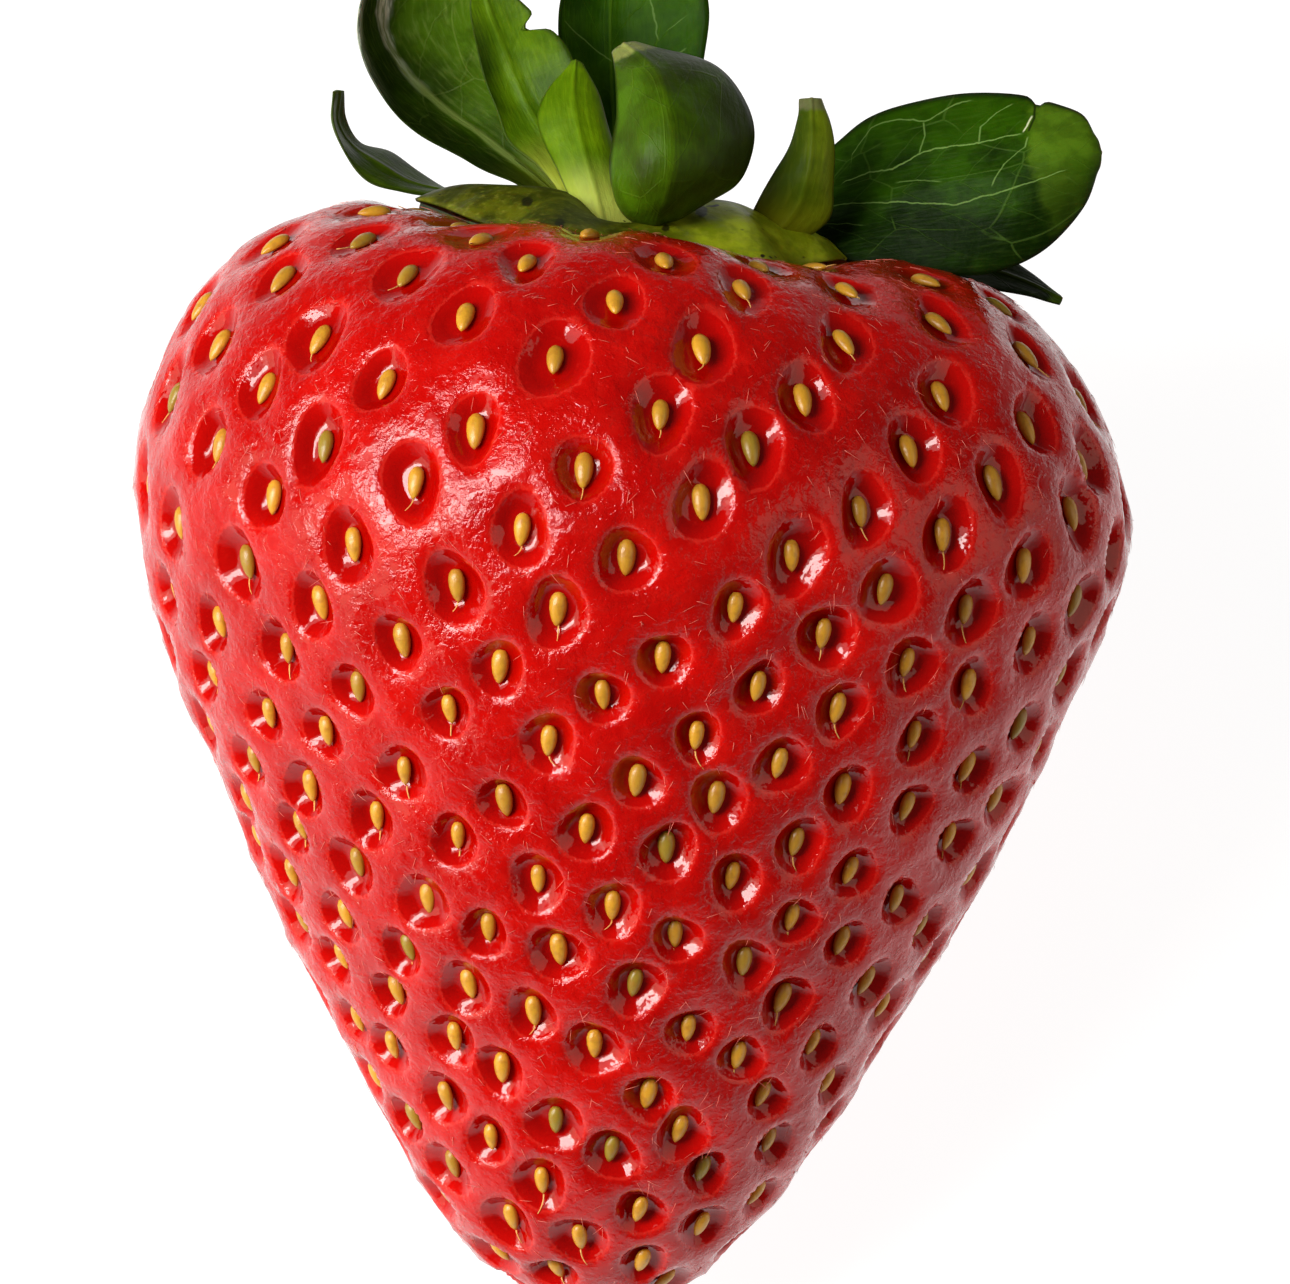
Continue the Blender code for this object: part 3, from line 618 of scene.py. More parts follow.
def make_calyx_disc():
    """The disc in the hollow that carries the leaves, with the stub of the stalk in its middle."""
    angles = np.arange(DISC_SIDES) * 2 * math.pi / DISC_SIDES
    number, share, phase = DISC_WAVES
    rings = []
    for out in np.linspace(0.05, 1.0, 20):
        radius = out * DISC_RADIUS * (1 + out * share * np.cos(number * angles + phase))
        rings.append(skin(in_hollow(radius), angles) + [0, 0, GAP + DISC_RIM_RISE * out**3])
    over = []
    for k, ring in enumerate(rings):
        out = (k + 1) / len(rings)
        ribs = RIB_RISE * np.cos(10 * angles + 0.6) * ease(out * 1.3) * ease((1 - out) * 6)
        edge = DISC_THICK * (1 - ease((out - 0.86) / 0.2) * 0.75)
        over.append(ring + np.stack([0 * angles, 0 * angles, edge + ribs], axis=1))
    rings += reversed(over)
    centre = skin(ALONG[-1:], np.zeros(1))[0]
    foot = centre + [0, 0, GAP + DISC_THICK]
    for up in np.linspace(0.02, 1.0, 14):
        middle = foot + [-STALK_LEAN * up**2, 0, STALK_LENGTH * up]
        flare = 1 + 0.25 * math.exp(-up * 9)
        ridged = STALK_RADIUS * flare * (1 + 0.05 * np.cos(7 * angles))
        turn = np.stack([np.cos(angles), np.sin(angles), 0 * angles], axis=1)
        rings.append(middle + turn * ridged[:, None])
    for inset in (0.8, 0.5):
        rings.append(middle + turn * ridged[:, None] * inset - [0, 0, STALK_DIP * (1 - inset)])
    points = [centre + [0, 0, GAP], *np.concatenate(rings), middle - [0, 0, STALK_DIP]]
    faces = tube(1, len(rings), DISC_SIDES, (0, len(points) - 1))
    return solid("calyx_middle", laid(points), faces)


def make_collar():
    """The collar of fused leaf bases: it rises from the disc and drapes over the front of the shoulder."""
    degrees = np.linspace(COLLAR[0][0], COLLAR[-1][0], COLLAR_STEPS)
    angles = np.radians(degrees)
    crest = smooth_curve([COLLAR[0], *COLLAR, COLLAR[-1]], 24)
    radius, height = (np.interp(degrees, crest[:, 0], crest[:, k]) * MM for k in (1, 2))
    around = np.stack([np.cos(angles), np.sin(angles), 0 * angles], axis=1)
    middle = np.array([AXIS_SHIFT, 0, 0])
    up = np.array([0, 0, 1])
    top = around * radius[:, None] + middle + up * height[:, None]
    foot = around * (radius - COLLAR_FOOT)[:, None] + middle + up * (height - COLLAR_SINK)[:, None]
    edge = COLLAR_EDGE * (1 + 0.05 * np.cos(7 * angles + 1) + 0.03 * np.cos(13 * angles))
    ends = (np.maximum(np.sin(np.linspace(0, math.pi, COLLAR_STEPS)), 1e-4) ** 0.35)[:, None]
    outer = top + (skin(in_hollow(edge), angles) + up * COLLAR_OFF - top) * ends
    rows = []
    for t in np.linspace(0, 1, COLLAR_SPLITS + 1):
        if t < COLLAR_CREST:
            spot = foot + (top - foot) * ease(t / COLLAR_CREST)
        else:
            u = (t - COLLAR_CREST) / (1 - COLLAR_CREST)
            spot = top + (outer - top) * u + up * COLLAR_BULGE * (math.sin(math.pi * u) * ends)
        ribs = RIB_RISE * np.cos(angles * 34 + 2 * np.cos(5 * angles)) * math.sin(math.pi * t)
        rows.append(spot + around * ribs[:, None])
    grid = np.array(rows)
    out = outward(grid)
    share = np.linspace(0, 1, COLLAR_SPLITS + 1)
    half = COLLAR_HALF * (1 - 0.5 * share[:, None, None] ** 4)
    collar = closed_sheet("calyx_collar", grid + out * half, grid - out * half)
    paint(collar, "across", np.tile(np.repeat(share, COLLAR_STEPS), 2))
    return collar


def outward(grid):
    """Unit vectors square to a grid of points."""
    out = np.cross(np.gradient(grid, axis=1), np.gradient(grid, axis=0))
    return out / np.linalg.norm(out, axis=2, keepdims=True)


def closed_sheet(name, upper, lower):
    """A closed thin object between two grids of points."""
    rows, columns = upper.shape[:2]
    points = laid(np.concatenate([upper.reshape(-1, 3), lower.reshape(-1, 3)]))
    other = rows * columns
    faces = []
    for i in range(rows - 1):
        for j in range(columns - 1):
            a, b = i * columns + j, (i + 1) * columns + j
            faces.append((a, a + 1, b + 1, b))
            faces.append((other + b, other + b + 1, other + a + 1, other + a))
    rim = [(0, j) for j in range(columns)] + [(i, columns - 1) for i in range(1, rows)]
    rim += [(rows - 1, j) for j in reversed(range(columns - 1))]
    rim += [(i, 0) for i in reversed(range(1, rows - 1))]
    for (i, j), (k, m) in zip(rim, [*rim[1:], rim[0]]):
        a, b = i * columns + j, k * columns + m
        faces.append((a, b, other + b, other + a))
    return solid(name, points, faces)


def evenly(line, steps):
    """Points evenly along a smooth curve through the line's points, both ends included."""
    curve = smooth_curve([2 * line[0] - line[1], *line, 2 * line[-1] - line[-2]], 24)
    along = length_along(curve)
    at = np.linspace(0, along[-1], steps + 1)
    return np.stack([np.interp(at, along, curve[:, k]) for k in range(3)], axis=1)


def make_leaf(name):
    """A thin blade with a raised midrib, a softly waved surface and a thin edge."""
    lines = (evenly(np.array(points) / 10 * MM, BLADE_STEPS)[:, None] for points in LEAVES[name])
    left, rib, right = lines
    v = np.linspace(-1, 1, BLADE_SPLITS + 1)[None, :, None]
    crease = CREASES.get(name, 0.0)
    bowl = (1 - crease) * v**2 + crease * abs(v)
    grid = rib + (right - left) / 2 * v + ((right + left) / 2 - rib) * bowl
    out = outward(grid)
    t = np.linspace(0, 1, BLADE_STEPS + 1)[:, None]
    v = v[..., 0]
    if name in NOTCHES:
        where, long, deep, side = NOTCHES[name]
        pull = deep * np.exp(-(((t - where) / long) ** 2)) * np.maximum(side * v, 0) ** 4
        grid = grid + (rib - grid) * pull[..., None]
    seed = Vector((sum(map(ord, name)) % 17, 0, 0))
    wave = np.array([[noise.noise(Vector(p) / WAVE_SIZE + seed) for p in row] for row in grid])
    lift = BLADE_WAVE * wave * ease(t / 0.2) * ease((1 - t) / 0.1)
    edge = abs(v)
    half = BLADE_HALF + MIDRIB_HALF * np.exp(-((edge / MIDRIB_WIDE) ** 2))
    half = half * (1 - 0.65 * edge**6) * (1 - 0.4 * t)
    upper, lower = (grid + out * (lift + side)[..., None] for side in (half, -half))
    blade = closed_sheet(name + "_blade", upper, lower)
    length = length_along(rib[:, 0])[:, None] + 0 * edge
    values = {
        "along": t + 0 * edge,
        "across": v + 0 * t,
        "far": length / MM,
        "wide": np.linalg.norm(right - left, axis=2) / 2 * v / MM,
    }
    for key, value in values.items():
        paint(blade, key, np.tile(np.ravel(value), 2))
    return blade


# Materials


def colour(red, green, blue):
    """A linear colour from 0 to 255 screen values."""
    linear = [((c / 255 + 0.055) / 1.055) ** 2.4 if c > 10 else c / 255 / 12.92 for c in (red, green, blue)]
    return (*linear, 1.0)


class Flow:
    """A number or a colour that a material works out at each place."""

    def __init__(self, finish, socket):
        self.finish, self.socket = finish, socket

    def sum(self, operation, other=0.0):
        """A new flow from this one and another, or a plain number."""
        return self.finish.node("Math", [(0, self), (1, other)], operation=operation)

    def __add__(self, other):
        return self.sum("ADD", other)

    def __sub__(self, other):
        return self.sum("SUBTRACT", other)

    def __mul__(self, other):
        return self.sum("MULTIPLY", other)

    def __abs__(self):
        return self.sum("ABSOLUTE")

    def between(self, low, high):
        """0 where the number is at low or below, 1 at high or above, smooth between."""
        inputs = [("Value", self), ("From Min", low), ("From Max", high)]
        return self.finish.node("MapRange", inputs, interpolation_type="SMOOTHSTEP")


class Finish:
    """A material being built: its surface shader, and short ways to add nodes and join them."""

    def __init__(self, name, **values):
        self.material = bpy.data.materials.new(name)
        self.material.use_nodes = True
        self.tree = self.material.node_tree
        self.surface = self.tree.nodes["Principled BSDF"]
        for key, value in values.items():
            self.use(key.replace("_", " "), value)

    def feed(self, socket, value):
        """Gives a socket a flow or a plain value."""
        if isinstance(value, Flow):
            self.tree.links.new(value.socket, socket)
        else:
            socket.default_value = value

    def use(self, socket, value):
        """Feeds one of the surface's sockets."""
        self.feed(self.surface.inputs[socket], value)

    def node(self, kind, inputs=(), output=0, **settings):
        """One output of a new node with its settings; inputs are (socket, value or flow) pairs."""
        made = self.tree.nodes.new("ShaderNode" + kind)
        for key, value in settings.items():
            setattr(made, key, value)
        for socket, value in inputs:
            self.feed(made.inputs[socket], value)
        return Flow(self, made.outputs[output])

    def value(self, name):
        """One of the numbers kept on the mesh's vertices."""
        return self.node("Attribute", output="Fac", attribute_name=name)

    def place(self):
        """The place on the object, in metres."""
        return self.node("TexCoord", output="Object")

    def grain(self, size, detail, rough=0.55):
        """Even noise from about 0 to 1 with features of that size."""
        inputs = [("Vector", self.place()), ("Scale", 1 / size), ("Detail", detail), ("Roughness", rough)]
        return self.node("TexNoise", inputs, "Fac")

    def mix(self, share, a, b):
        """A blend of two colours, each a flow or 0 to 255 screen values."""
        a, b = (c if isinstance(c, Flow) else colour(*c) for c in (a, b))
        return self.node("Mix", [(0, share), (6, a), (7, b)], 2, data_type="RGBA")

    def line(self, lead, follow, points, thick):
        """1 on a line through the points, between its ends, and 0 away from it. The points are (lead,
        follow) pairs from 0 to 1, in order of lead."""
        course = self.node("FloatCurve", [("Value", lead)], "Value")
        mapping = course.socket.node.mapping
        kept = mapping.curves[0].points
        kept[0].location, kept[1].location = points[0], points[-1]
        for point in points[1:-1]:
            kept.new(*point)
        for point in kept:
            point.handle_type = "VECTOR"
        mapping.update()
        first, last = points[0][0], points[-1][0]
        within = lead.between(first, first + LINE_FADE) * lead.between(last, last - LINE_FADE)
        return abs(follow - course).between(thick, 0.2 * thick) * within

    def bump(self, height, depth, under=None):
        """Adds fine relief of that depth in metres to the surface."""
        inputs = [("Height", height), ("Distance", depth), ("Strength", 1.0)]
        if under:
            inputs.append(("Normal", under))
        normal = self.node("Bump", inputs)
        self.use("Normal", normal)
        return normal


def flesh_finish():
    """Glossy red flesh with painted shade deep in the pits, a painted highlight round them and painted light
    between, paler at the hollow, with fine mottling.
    """
    f = Finish("ripe_flesh", Subsurface_Weight=0.3, Subsurface_Scale=1.4 * MM, IOR=1.4)
    f.use("Subsurface Radius", (1.0, 0.12, 0.08))
    pit, height, from_axis = f.value("pit"), f.value("height"), f.value("from_axis")
    red = f.mix(f.grain(5 * MM, 2).between(0.35, 0.65), (168, 4, 2), (183, 7, 3))
    # painted shade: the flesh is darker red the deeper it lies in a pit
    red = f.mix(pit.between(0.25, 0.95), red, (158, 3, 1))
    # painted highlight: a thin pale pink ring round the rim of each pit, where its lip would catch the light
    rim = abs(pit - 0.09).between(0.08, 0.02)
    red = f.mix(rim * 0.28, red, (226, 58, 46))
    # painted light: the raised skin between the pits is lighter red, in patches set by a grain
    ridge_light_patches = pit.between(0.12, 0.0) * f.grain(0.9 * MM, 3).between(0.4, 0.7)
    red = f.mix(ridge_light_patches * 0.13, red, (218, 40, 30))
    speck = f.grain(0.22 * MM, 2).between(0.6, 0.75)
    red = f.mix(speck * 0.15, red, (216, 34, 24))
    round_collar = from_axis.between(0.52, 0.37) * height.between(0.8, 0.86)
    red = f.mix(round_collar * 0.5, red, (128, 52, 8))
    under_collar = from_axis.between(0.33, 0.22) * height.between(0.82, 0.86)
    f.use("Base Color", f.mix(under_collar, red, (232, 150, 84)))
    web = f.grain(0.6 * MM, 4, rough=0.62).between(0.4, 0.64) * pit.between(0.3, 0.05)
    f.use("Roughness", web * 0.09 + 0.05)
    under = f.bump(f.grain(1.3 * MM, 3), 0.055 * MM)
    under = f.bump(web, 0.026 * MM, under)
    f.bump(f.grain(0.25 * MM, 2), 0.004 * MM, under)
    return f.material


def achene_finish():
    """Golden to olive achenes with fine lengthwise grain."""
    f = Finish("achene", Roughness=0.34, Subsurface_Weight=0.1, Subsurface_Scale=0.4 * MM)
    shade = f.value("shade")
    base = f.mix(shade.between(0.35, 1.0), (200, 146, 38), (172, 126, 36))
    base = f.mix(shade.between(0.82, 0.98), base, (144, 120, 34))
    base = f.mix(f.grain(0.35 * MM, 3).between(0.45, 0.7) * 0.4, base, (146, 88, 26))
    f.use("Base Color", base)
    f.bump(f.grain(0.14 * MM, 3), 0.02 * MM)
    return f.material


def style_finish():
    """Dried styles: straw to light brown."""
    f = Finish("dried_style", Roughness=0.5)
    f.use("Base Color", f.mix(f.grain(0.7 * MM, 2), (206, 140, 60), (232, 182, 104)))
    f.bump(f.grain(0.1 * MM, 2), 0.01 * MM)
    return f.material


def hair_finish():
    """Fine pale hairs."""
    f = Finish("fine_hair", Roughness=0.35)
    f.use("Base Color", f.mix(f.grain(1 * MM, 2), (214, 70, 58), (240, 150, 130)))
    return f.material


def leaf_net(f, far, wide):
    """The net of veins in a leaf: coarse cells, shown here and there, and fine ones."""
    flat = f.node("CombineXYZ", [(0, wide), (1, far * 0.6)])
    wobble = f.node("TexNoise", [("Vector", flat), ("Scale", 0.45), ("Detail", 1.0)], "Color")
    bent = f.node("VectorMath", [(0, wobble), (1, (0.8, 0.8, 0.8)), (2, flat)], operation="MULTIPLY_ADD")
    coarse, fine = (
        f.node("TexVoronoi", [("Vector", bent), ("Scale", scale)], "Distance", feature="DISTANCE_TO_EDGE")
        for scale in (0.36, 1.9)
    )
    return coarse.between(0.013, 0.003) * f.grain(2.4 * MM, 2).between(0.36, 0.52), fine.between(0.05, 0.0)


def leaf_finish(name, look):
    """A leaf: mottled blade with one half lighter as painted light, pale claw, midrib, side veins, a net of
    veins, a dark edge of painted shade and a dry tip.
    """
    dark, vein = look["dark"], look["vein"]
    f = Finish(name, Roughness=0.42, Subsurface_Weight=0.08, Subsurface_Scale=0.5 * MM)
    f.use("Specular IOR Level", look["shine"])
    far, wide = f.value("far"), f.value("wide")
    along, across = f.value("along"), f.value("across")
    off, edge = abs(wide), abs(across)
    waver = (f.grain(1.5 * MM, 2) - 0.5) * 0.9
    folded = along + (waver + f.grain(0.6 * MM, 3)) * 0.05
    steps = (far - off * 1.35 + waver) * 0.42
    side_vein = abs(steps.sum("FRACT") - 0.5).between(0.03, 0.006) * edge.between(0.9, 0.5)
    net, fine_net = leaf_net(f, far, wide)
    mid = (off + waver * 0.12).between(look["rib"], look["rib"] * 0.4)
    streaks = f.node("CombineXYZ", [(0, wide * 7.0), (1, far * 0.9), (2, 3.0)])
    fibre = f.node("TexNoise", [("Vector", streaks), ("Scale", 1.0), ("Detail", 4.0)], "Fac")
    # painted light: across times lean makes one half of the blade lighter than the other
    patch = f.grain(2.2 * MM, 3) * 1.1 + across * look["lean"]
    base = f.mix(patch.between(0.3, 0.85), dark, look["light"])
    base = f.mix(f.grain(0.8 * MM, 4).between(0.5, 0.35) * 0.3, base, dark)
    base = f.mix(fibre.between(0.45, 0.75) * (0.18 * look["fibre"]), base, vein)
    base = f.mix(fibre.between(0.5, 0.25) * (0.2 * look["fibre"]), base, dark)
    base = f.mix(fine_net * (0.08 * look["net"]), base, vein)
    base = f.mix(net * look["net"], base, vein)
    base = f.mix(side_vein * (0.5 * look["net"]), base, vein)
    base = f.mix(mid * look["mid"], base, vein)
    if look["pale"]:
        band = (off + waver).between(look["rib"] * 1.4, look["rib"] * 0.5)
        margin = band.sum("MAXIMUM", (across + waver * 0.4).between(-0.55, -0.9))
        frayed = fibre.between(0.42, 0.56) * 0.7 + 0.3
        upper = along.between(0.5, 0.9) * look["pale"]
        base = f.mix(margin * frayed * upper, base, (250, 255, 236))
    base = f.mix(far.between(look["reach"], look["reach"] * 0.2) * 0.9, base, look["claw"])
    tip = f.mix(f.grain(0.9 * MM, 4).between(0.62, 0.38), look["tip"], f.mix(0.35, look["tip"], dark))
    dried = across.between(-0.5, 0.8) * -look["fade"] + 0.8
    base = f.mix(folded.between(look["dry"], look["dry"] + 0.03) * dried, base, tip)
    shaky = waver * 0.06 + (f.grain(0.5 * MM, 2) - 0.5) * 0.045
    from_left = (across + shaky) * 0.5 + 0.5
    for by, thick, strength, ink, points in look["lines"]:
        if by == "along":
            drawn = f.line(along, from_left, [(a, (c + 1) / 2) for a, c in points], thick)
        else:
            drawn = f.line(from_left, along, [((c + 1) / 2, a) for a, c in points], thick)
        base = f.mix(drawn * strength, base, ink)
    # painted shade: the blade darkens towards near black along its edge, where the rounded margin turns away
    base = f.mix(edge.between(0.9, 0.985) * 0.75, base, f.mix(0.6, dark, (14, 22, 6)))
    speck = f.grain(0.5 * MM, 2).between(0.73, 0.77)
    f.use("Base Color", f.mix(speck * far.between(5.0, 2.0), base, (40, 34, 12)))
    veins = (mid * look["mid"]).sum("MAXIMUM", net.sum("MAXIMUM", side_vein) * look["net"])
    under = f.bump(veins, 0.07 * MM)
    under = f.bump(fibre, 0.03 * MM, under)
    f.bump(f.grain(0.35 * MM, 4), 0.03 * MM, under)
    return f.material


def disc_finish():
    """The disc, its collar and the stalk: yellow-green with painted light to the right and painted shade
    along the collar's crest, streaked and freckled, with a few dark spots.
    """
    f = Finish("calyx_green", Roughness=0.5, Subsurface_Weight=0.15, Subsurface_Scale=0.8 * MM)
    f.use("Specular IOR Level", 0.15)
    lowest, turn = REST
    to_right = f.node("SeparateXYZ", [(0, f.place())])
    along_axis = [(0, f.place()), (1, turn @ Vector((0, 0, 1)))]
    upward = f.node("VectorMath", along_axis, "Value", operation="DOT_PRODUCT")
    # painted light: the disc, collar and stalk are lighter and yellower towards the right, darker olive on
    # the left
    right = to_right.between(-1 * MM, 4 * MM)
    base = f.mix(right, (52, 56, 2), (110, 124, 6))
    base = f.mix(f.grain(1.4 * MM, 4).between(0.4, 0.65), base, f.mix(right, (90, 94, 5), (154, 168, 26)))
    base = f.mix(f.grain(0.3 * MM, 4).between(0.5, 0.8) * 0.35, base, (158, 160, 60))
    # painted shade: a dark line along the collar's crest
    crest = abs(f.value("across") - 0.35)
    base = f.mix(crest.between(0.05, 0.015) * 0.55, base, (26, 26, 6))
    base = f.mix(f.grain(0.9 * MM, 2).between(0.69, 0.72), base, (24, 20, 8))
    ragged = f.grain(0.3 * MM, 2) * (0.2 * MM)
    for x, z, size in COLLAR_SPOTS:
        offset = [(0, to_right - (x * MM - lowest[0])), (1, upward - (z * MM - lowest[2]))]
        away = f.node("VectorMath", [(0, f.node("CombineXYZ", offset))], "Value", operation="LENGTH")
        base = f.mix((away + ragged).between(size * MM, 0.7 * size * MM) * 0.9, base, (22, 20, 6))
    f.use("Base Color", base)
    f.bump(f.grain(0.5 * MM, 4), 0.06 * MM)
    return f.material


def floor_finish():
    """A plain white floor that glows round the berry, as a light table does, so that shadows stay faint."""
    f = Finish("pale_floor", Roughness=0.9, Emission_Color=(1, 1, 1, 1))
    f.use("Specular IOR Level", 0.1)
    f.use("Base Color", f.mix(f.grain(60 * MM, 3), (120, 120, 120), (124, 124, 124)))
    away = f.node("VectorMath", [(0, f.place())], "Value", operation="LENGTH")
    f.use("Emission Strength", away.between(45 * MM, 160 * MM) * (FAR_GLOW - FLOOR_GLOW) + FLOOR_GLOW)
    return f.material


# The leaves' looks. Every leaf starts from PLAIN. Colours are screen values from 0 to 255.
PALE_VEIN = (116, 148, 76)
PLAIN = {
    "dark": (24, 46, 3), "light": (50, 84, 6), "vein": (96, 128, 44), "claw": (98, 110, 18),
    "tip": (68, 94, 16), "dry": 0.97,  # the dry tip and where it starts
    "rib": 0.16, "mid": 0.5,  # half-width of the midrib in mm and how clear it is
    "net": 0.5, "fibre": 1.0,  # how clear the net of veins and the fibres are
    "lean": 0.0,  # painted light: how much lighter the right half is than the left
    "reach": 4.5,  # length of the claw in mm
    "pale": 0.0,  # a frayed pale band along the fold and the left edge
    "fade": 0.0,  # how much the dry tip fades towards the right edge
    "shine": 0.06, "lines": [],
}


def vein(strength, *points):
    """A vein that runs up the leaf, by (along, across) points: across is from -1 at the left edge to 1."""
    return "along", 0.0065, strength, PALE_VEIN, points


def link(strength, *points, thick=0.0032, ink=PALE_VEIN):
    """A vein or a mark that runs from left to right, by (along, across) points."""
    return "across", thick, strength, ink, points


LEAF_LOOKS = {
    "sepal_left": {
        "dark": (31, 50, 2), "light": (64, 95, 8), "vein": (140, 160, 80), "tip": (150, 160, 110),
        "dry": 0.93, "rib": 0.3, "mid": 0.6, "net": 0.14, "lean": 0.25, "reach": 4.0, "pale": 0.9,
    },
    "sepal_front_left": {
        "dark": (50, 78, 2), "light": (82, 114, 4), "vein": (116, 146, 16), "claw": (168, 178, 60),
        "mid": 0.1, "net": 0.04, "reach": 5.5,
    },
    "sepal_back": {
        "dark": (27, 59, 1), "light": (52, 90, 3), "vein": (84, 120, 20),
        "rib": 0.1, "mid": 0.35, "net": 0.2, "fibre": 0.4, "shine": 0.03,
        "lines": [
            vein(0.45, (0.578, 0.57), (0.608, 0.55), (0.705, 0.49), (0.8, 0.42)),
            vein(0.35, (0.6, 0.6), (0.648, 0.84)),
            link(0.45, (0.65, -0.89), (0.602, -0.43), (0.532, 0.03), thick=0.004),
            link(0.4, (0.42, 0.06), (0.5, 0.5), (0.55, 0.85), thick=0.004),
        ],
    },
    "sepal_front": {
        # its claw colour is dark olive: painted shade on the lower part of the leaf, which turns downward
        "dark": (39, 54, 1), "light": (63, 96, 4), "vein": (88, 114, 22), "claw": (44, 48, 2),
        "tip": (140, 146, 76), "dry": 0.95, "mid": 0.08, "net": 0.16, "fibre": 0.5, "lean": -0.15,
        "reach": 7.0, "shine": 0.08,
    },
    "sepal_right": {
        "dark": (11, 28, 1), "light": (38, 72, 1), "vein": (104, 140, 58), "claw": (40, 68, 2),
        "tip": (80, 112, 20), "dry": 0.83, "rib": 0.07, "mid": 0.0, "net": 0.16, "fibre": 0.35,
        "lean": -0.3, "fade": 0.6, "shine": 0.03,
        "lines": [
            vein(0.75, (0.33, -0.34), (0.348, -0.37), (0.412, -0.36), (0.472, -0.3), (0.545, -0.39),
                 (0.698, -0.42), (0.81, -0.49)),
            vein(0.6, (0.36, -0.45), (0.375, -0.69), (0.435, -0.87), (0.49, -0.85), (0.568, -0.74),
                 (0.588, -0.76), (0.642, -0.88), (0.682, -0.91)),
            link(0.55, (0.562, -0.75), (0.565, -0.57), (0.545, -0.38)),
            link(0.6, (0.778, -0.88), (0.74, -0.76), (0.702, -0.61), (0.698, -0.41)),
            link(0.6, (0.82, -0.45), (0.812, -0.31), (0.758, -0.13), (0.715, 0.1)),
            vein(0.6, (0.272, -0.07), (0.448, 0.09), (0.61, 0.23), (0.688, 0.18), (0.775, 0.18),
                 (0.83, 0.18), (0.91, 0.19)),
            vein(0.4, (0.47, -0.14), (0.5, -0.12), (0.6, -0.03)),
            vein(0.45, (0.25, 0.22), (0.265, 0.23), (0.375, 0.36)),
            # a painted fold near the tip: a dark line of painted shade with a pale line of painted highlight
            # beside it
            link(0.85, (0.823, -0.97), (0.829, -0.73), (0.819, -0.5), thick=0.0045, ink=(20, 30, 6)),
            link(0.9, (0.824, -0.78), (0.815, -0.6), (0.806, -0.5), thick=0.003, ink=(206, 214, 170)),
        ],
    },
    "bractlet_left": {
        "dark": (44, 64, 4), "light": (74, 98, 12), "vein": (104, 122, 36), "claw": (76, 86, 6),
        "tip": (84, 100, 40), "dry": 0.8, "mid": 0.2, "net": 0.06,
    },
    "bractlet_front": {
        "dark": (68, 98, 2), "light": (98, 130, 4), "vein": (124, 152, 20), "claw": (182, 190, 84),
        "mid": 0.05, "net": 0.03, "reach": 4.2,
    },
    "bractlet_right": {
        "dark": (60, 80, 4), "light": (98, 116, 14), "vein": (122, 136, 34), "claw": (112, 106, 8),
        "tip": (120, 120, 84), "dry": 0.95, "mid": 0.05, "net": 0.06, "lean": 0.35,
    },
    "bractlet_low_right": {
        # its greens are near black: painted shade, as it is seen from its shaded side
        "dark": (12, 22, 1), "light": (28, 44, 4), "vein": (56, 72, 20), "claw": (40, 50, 4),
    },
}


# Floor, light and camera

DISTANCE = 350 * MM
LENS, SENSOR, CLIP_START = 234.4, 36, 1 * MM
AIM = (25 / 24 * MM, 0.0, 683 / 24 * MM)
FLOOR_HALF, FLOOR_STEPS = 1.5, 24
FLOOR_FLAT, FLOOR_CURVE = 0.7, 0.12  # radius within which it is flat, and how much it curves up beyond
FLOOR_GLOW, FAR_GLOW = 0.94, 0.25
ROOM_LIGHT = 0.06
# Softboxes: degrees to the camera's right and above it, distance, size, power and tint.
SOFTBOXES = {
    "key_core": (-43, 8, 0.58, (0.16, 0.44), 4.3, (1, 0.98, 0.96)),
    "key_light": (-45, 9, 0.6, (0.38, 0.54), 1.4, (1, 0.96, 0.9)),
    "left_light": (-80, -12, 0.6, (0.42, 0.74), 2.1, (1, 0.95, 0.74)),
    "right_light": (71, -4, 0.6, (0.45, 0.85), 1.45, (1, 0.86, 0.68)),
}


def make_floor():
    """A broad plain floor, curved up a little far away."""
    spots = np.linspace(-FLOOR_HALF, FLOOR_HALF, FLOOR_STEPS + 1)
    points, faces = [], []
    for x in spots:
        for y in spots:
            points.append((x, y, FLOOR_CURVE * max(0.0, math.hypot(x, y) - FLOOR_FLAT) ** 2))
    for i in range(FLOOR_STEPS):
        for j in range(FLOOR_STEPS):
            a, b = i * (FLOOR_STEPS + 1) + j, (i + 1) * (FLOOR_STEPS + 1) + j
            faces.append((a, b, b + 1, a + 1))
    floor = solid("floor", points, faces)
    floor.data.materials.append(floor_finish())


def make_camera():
    """The camera: it looks straight at the berry's front, so down on it where it lies. Gives its target
    and its axes to the right, up and backward."""
    _, turn = REST
    target = Vector(laid([AIM])[0])
    forward, up = turn @ Vector((0, 1, 0)), turn @ Vector((0, 0, 1))
    back, side = -forward, forward.cross(up)
    camera = bpy.data.objects.new("camera", bpy.data.cameras.new("camera"))
    facing = Matrix((side, up, back)).transposed().to_4x4()
    camera.matrix_world = Matrix.Translation(target + back * DISTANCE) @ facing
    camera.data.lens = LENS
    camera.data.sensor_width = SENSOR
    camera.data.sensor_fit = "HORIZONTAL"
    camera.data.clip_start = CLIP_START
    bpy.context.scene.collection.objects.link(camera)
    bpy.context.scene.camera = camera
    return target, side, up, back


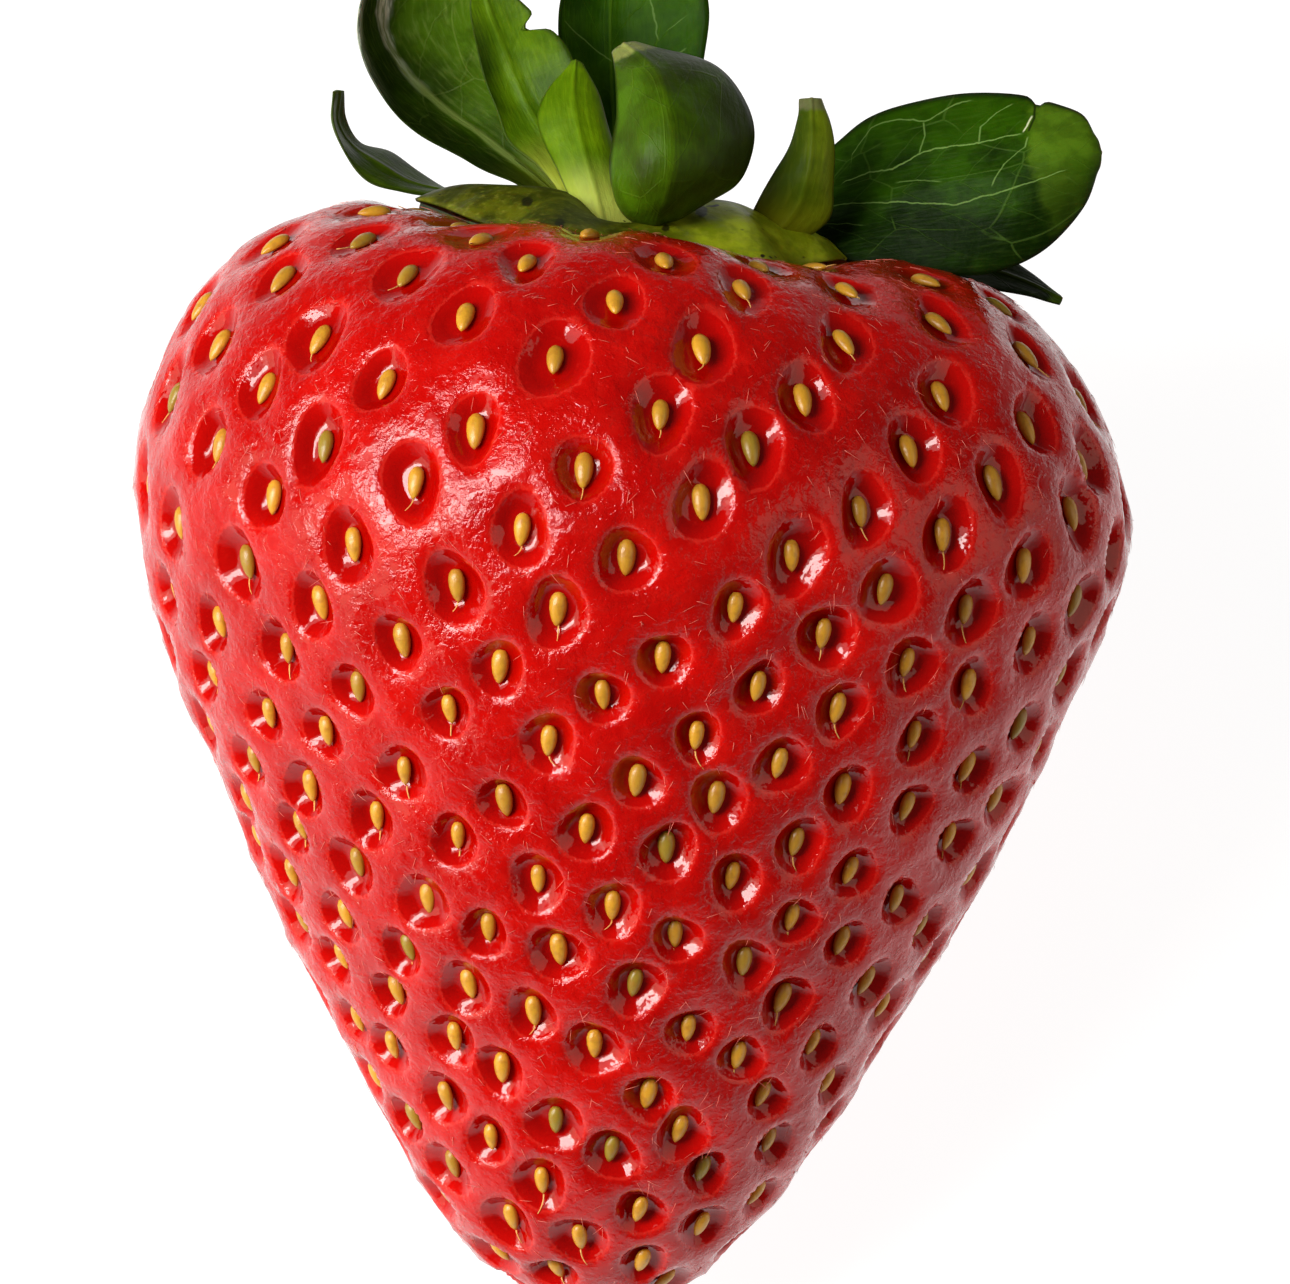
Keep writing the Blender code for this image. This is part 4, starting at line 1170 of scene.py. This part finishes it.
def make_lights(target, side, up, back):
    """A softbox to the left with a bright core, a broad dimmer one beside it, another to the right, and
    a dim room."""
    for name, (azimuth, elevation, distance, size, power, tint) in SOFTBOXES.items():
        a, e = math.radians(azimuth), math.radians(elevation)
        way = side * math.sin(a) * math.cos(e) + up * math.sin(e) + back * math.cos(a) * math.cos(e)
        light = bpy.data.objects.new(name, bpy.data.lights.new(name, "AREA"))
        light.data.shape = "RECTANGLE"
        light.data.size, light.data.size_y = size
        light.data.energy = power
        light.data.color = tint
        facing = way.to_track_quat("Z", "Y").to_matrix().to_4x4()
        light.matrix_world = Matrix.Translation(target + way * distance) @ facing
        light.visible_camera = False
        bpy.context.scene.collection.objects.link(light)
    world = bpy.data.worlds.new("room")
    world.use_nodes = True
    background = world.node_tree.nodes["Background"]
    background.inputs["Color"].default_value = (1, 1, 1, 1)
    background.inputs["Strength"].default_value = ROOM_LIGHT
    bpy.context.scene.world = world
    bpy.context.scene.view_settings.view_transform = "Standard"


# The scene


def add(piece, finish, node):
    """Puts a piece on the model's body, with its finish and the node that it stands for."""
    piece.data.materials.append(finish)
    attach(piece, "root")
    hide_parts(node)


def dress_leaves():
    """Every leaf, each in its own greens."""
    for name in LEAVES:
        look = {**PLAIN, **LEAF_LOOKS.get(name, {})}
        add(make_leaf(name), leaf_finish(name + "_green", look), name)


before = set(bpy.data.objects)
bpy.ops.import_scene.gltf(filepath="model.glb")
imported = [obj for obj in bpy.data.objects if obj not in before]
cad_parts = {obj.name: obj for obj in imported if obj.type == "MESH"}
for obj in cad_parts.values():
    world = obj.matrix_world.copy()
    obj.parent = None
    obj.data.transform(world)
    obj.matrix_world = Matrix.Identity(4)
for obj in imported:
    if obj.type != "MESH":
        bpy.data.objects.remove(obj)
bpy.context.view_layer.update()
sites = Sites()
add(make_flesh(sites), flesh_finish(), "berry")
add(make_achenes(sites), achene_finish(), "berry")
add(make_styles(sites), style_finish(), "berry")
add(make_hairs(sites), hair_finish(), "berry")
green = disc_finish()
add(make_calyx_disc(), green, "calyx_disc")
add(make_collar(), green, "calyx_disc")
dress_leaves()
make_floor()
make_lights(*make_camera())
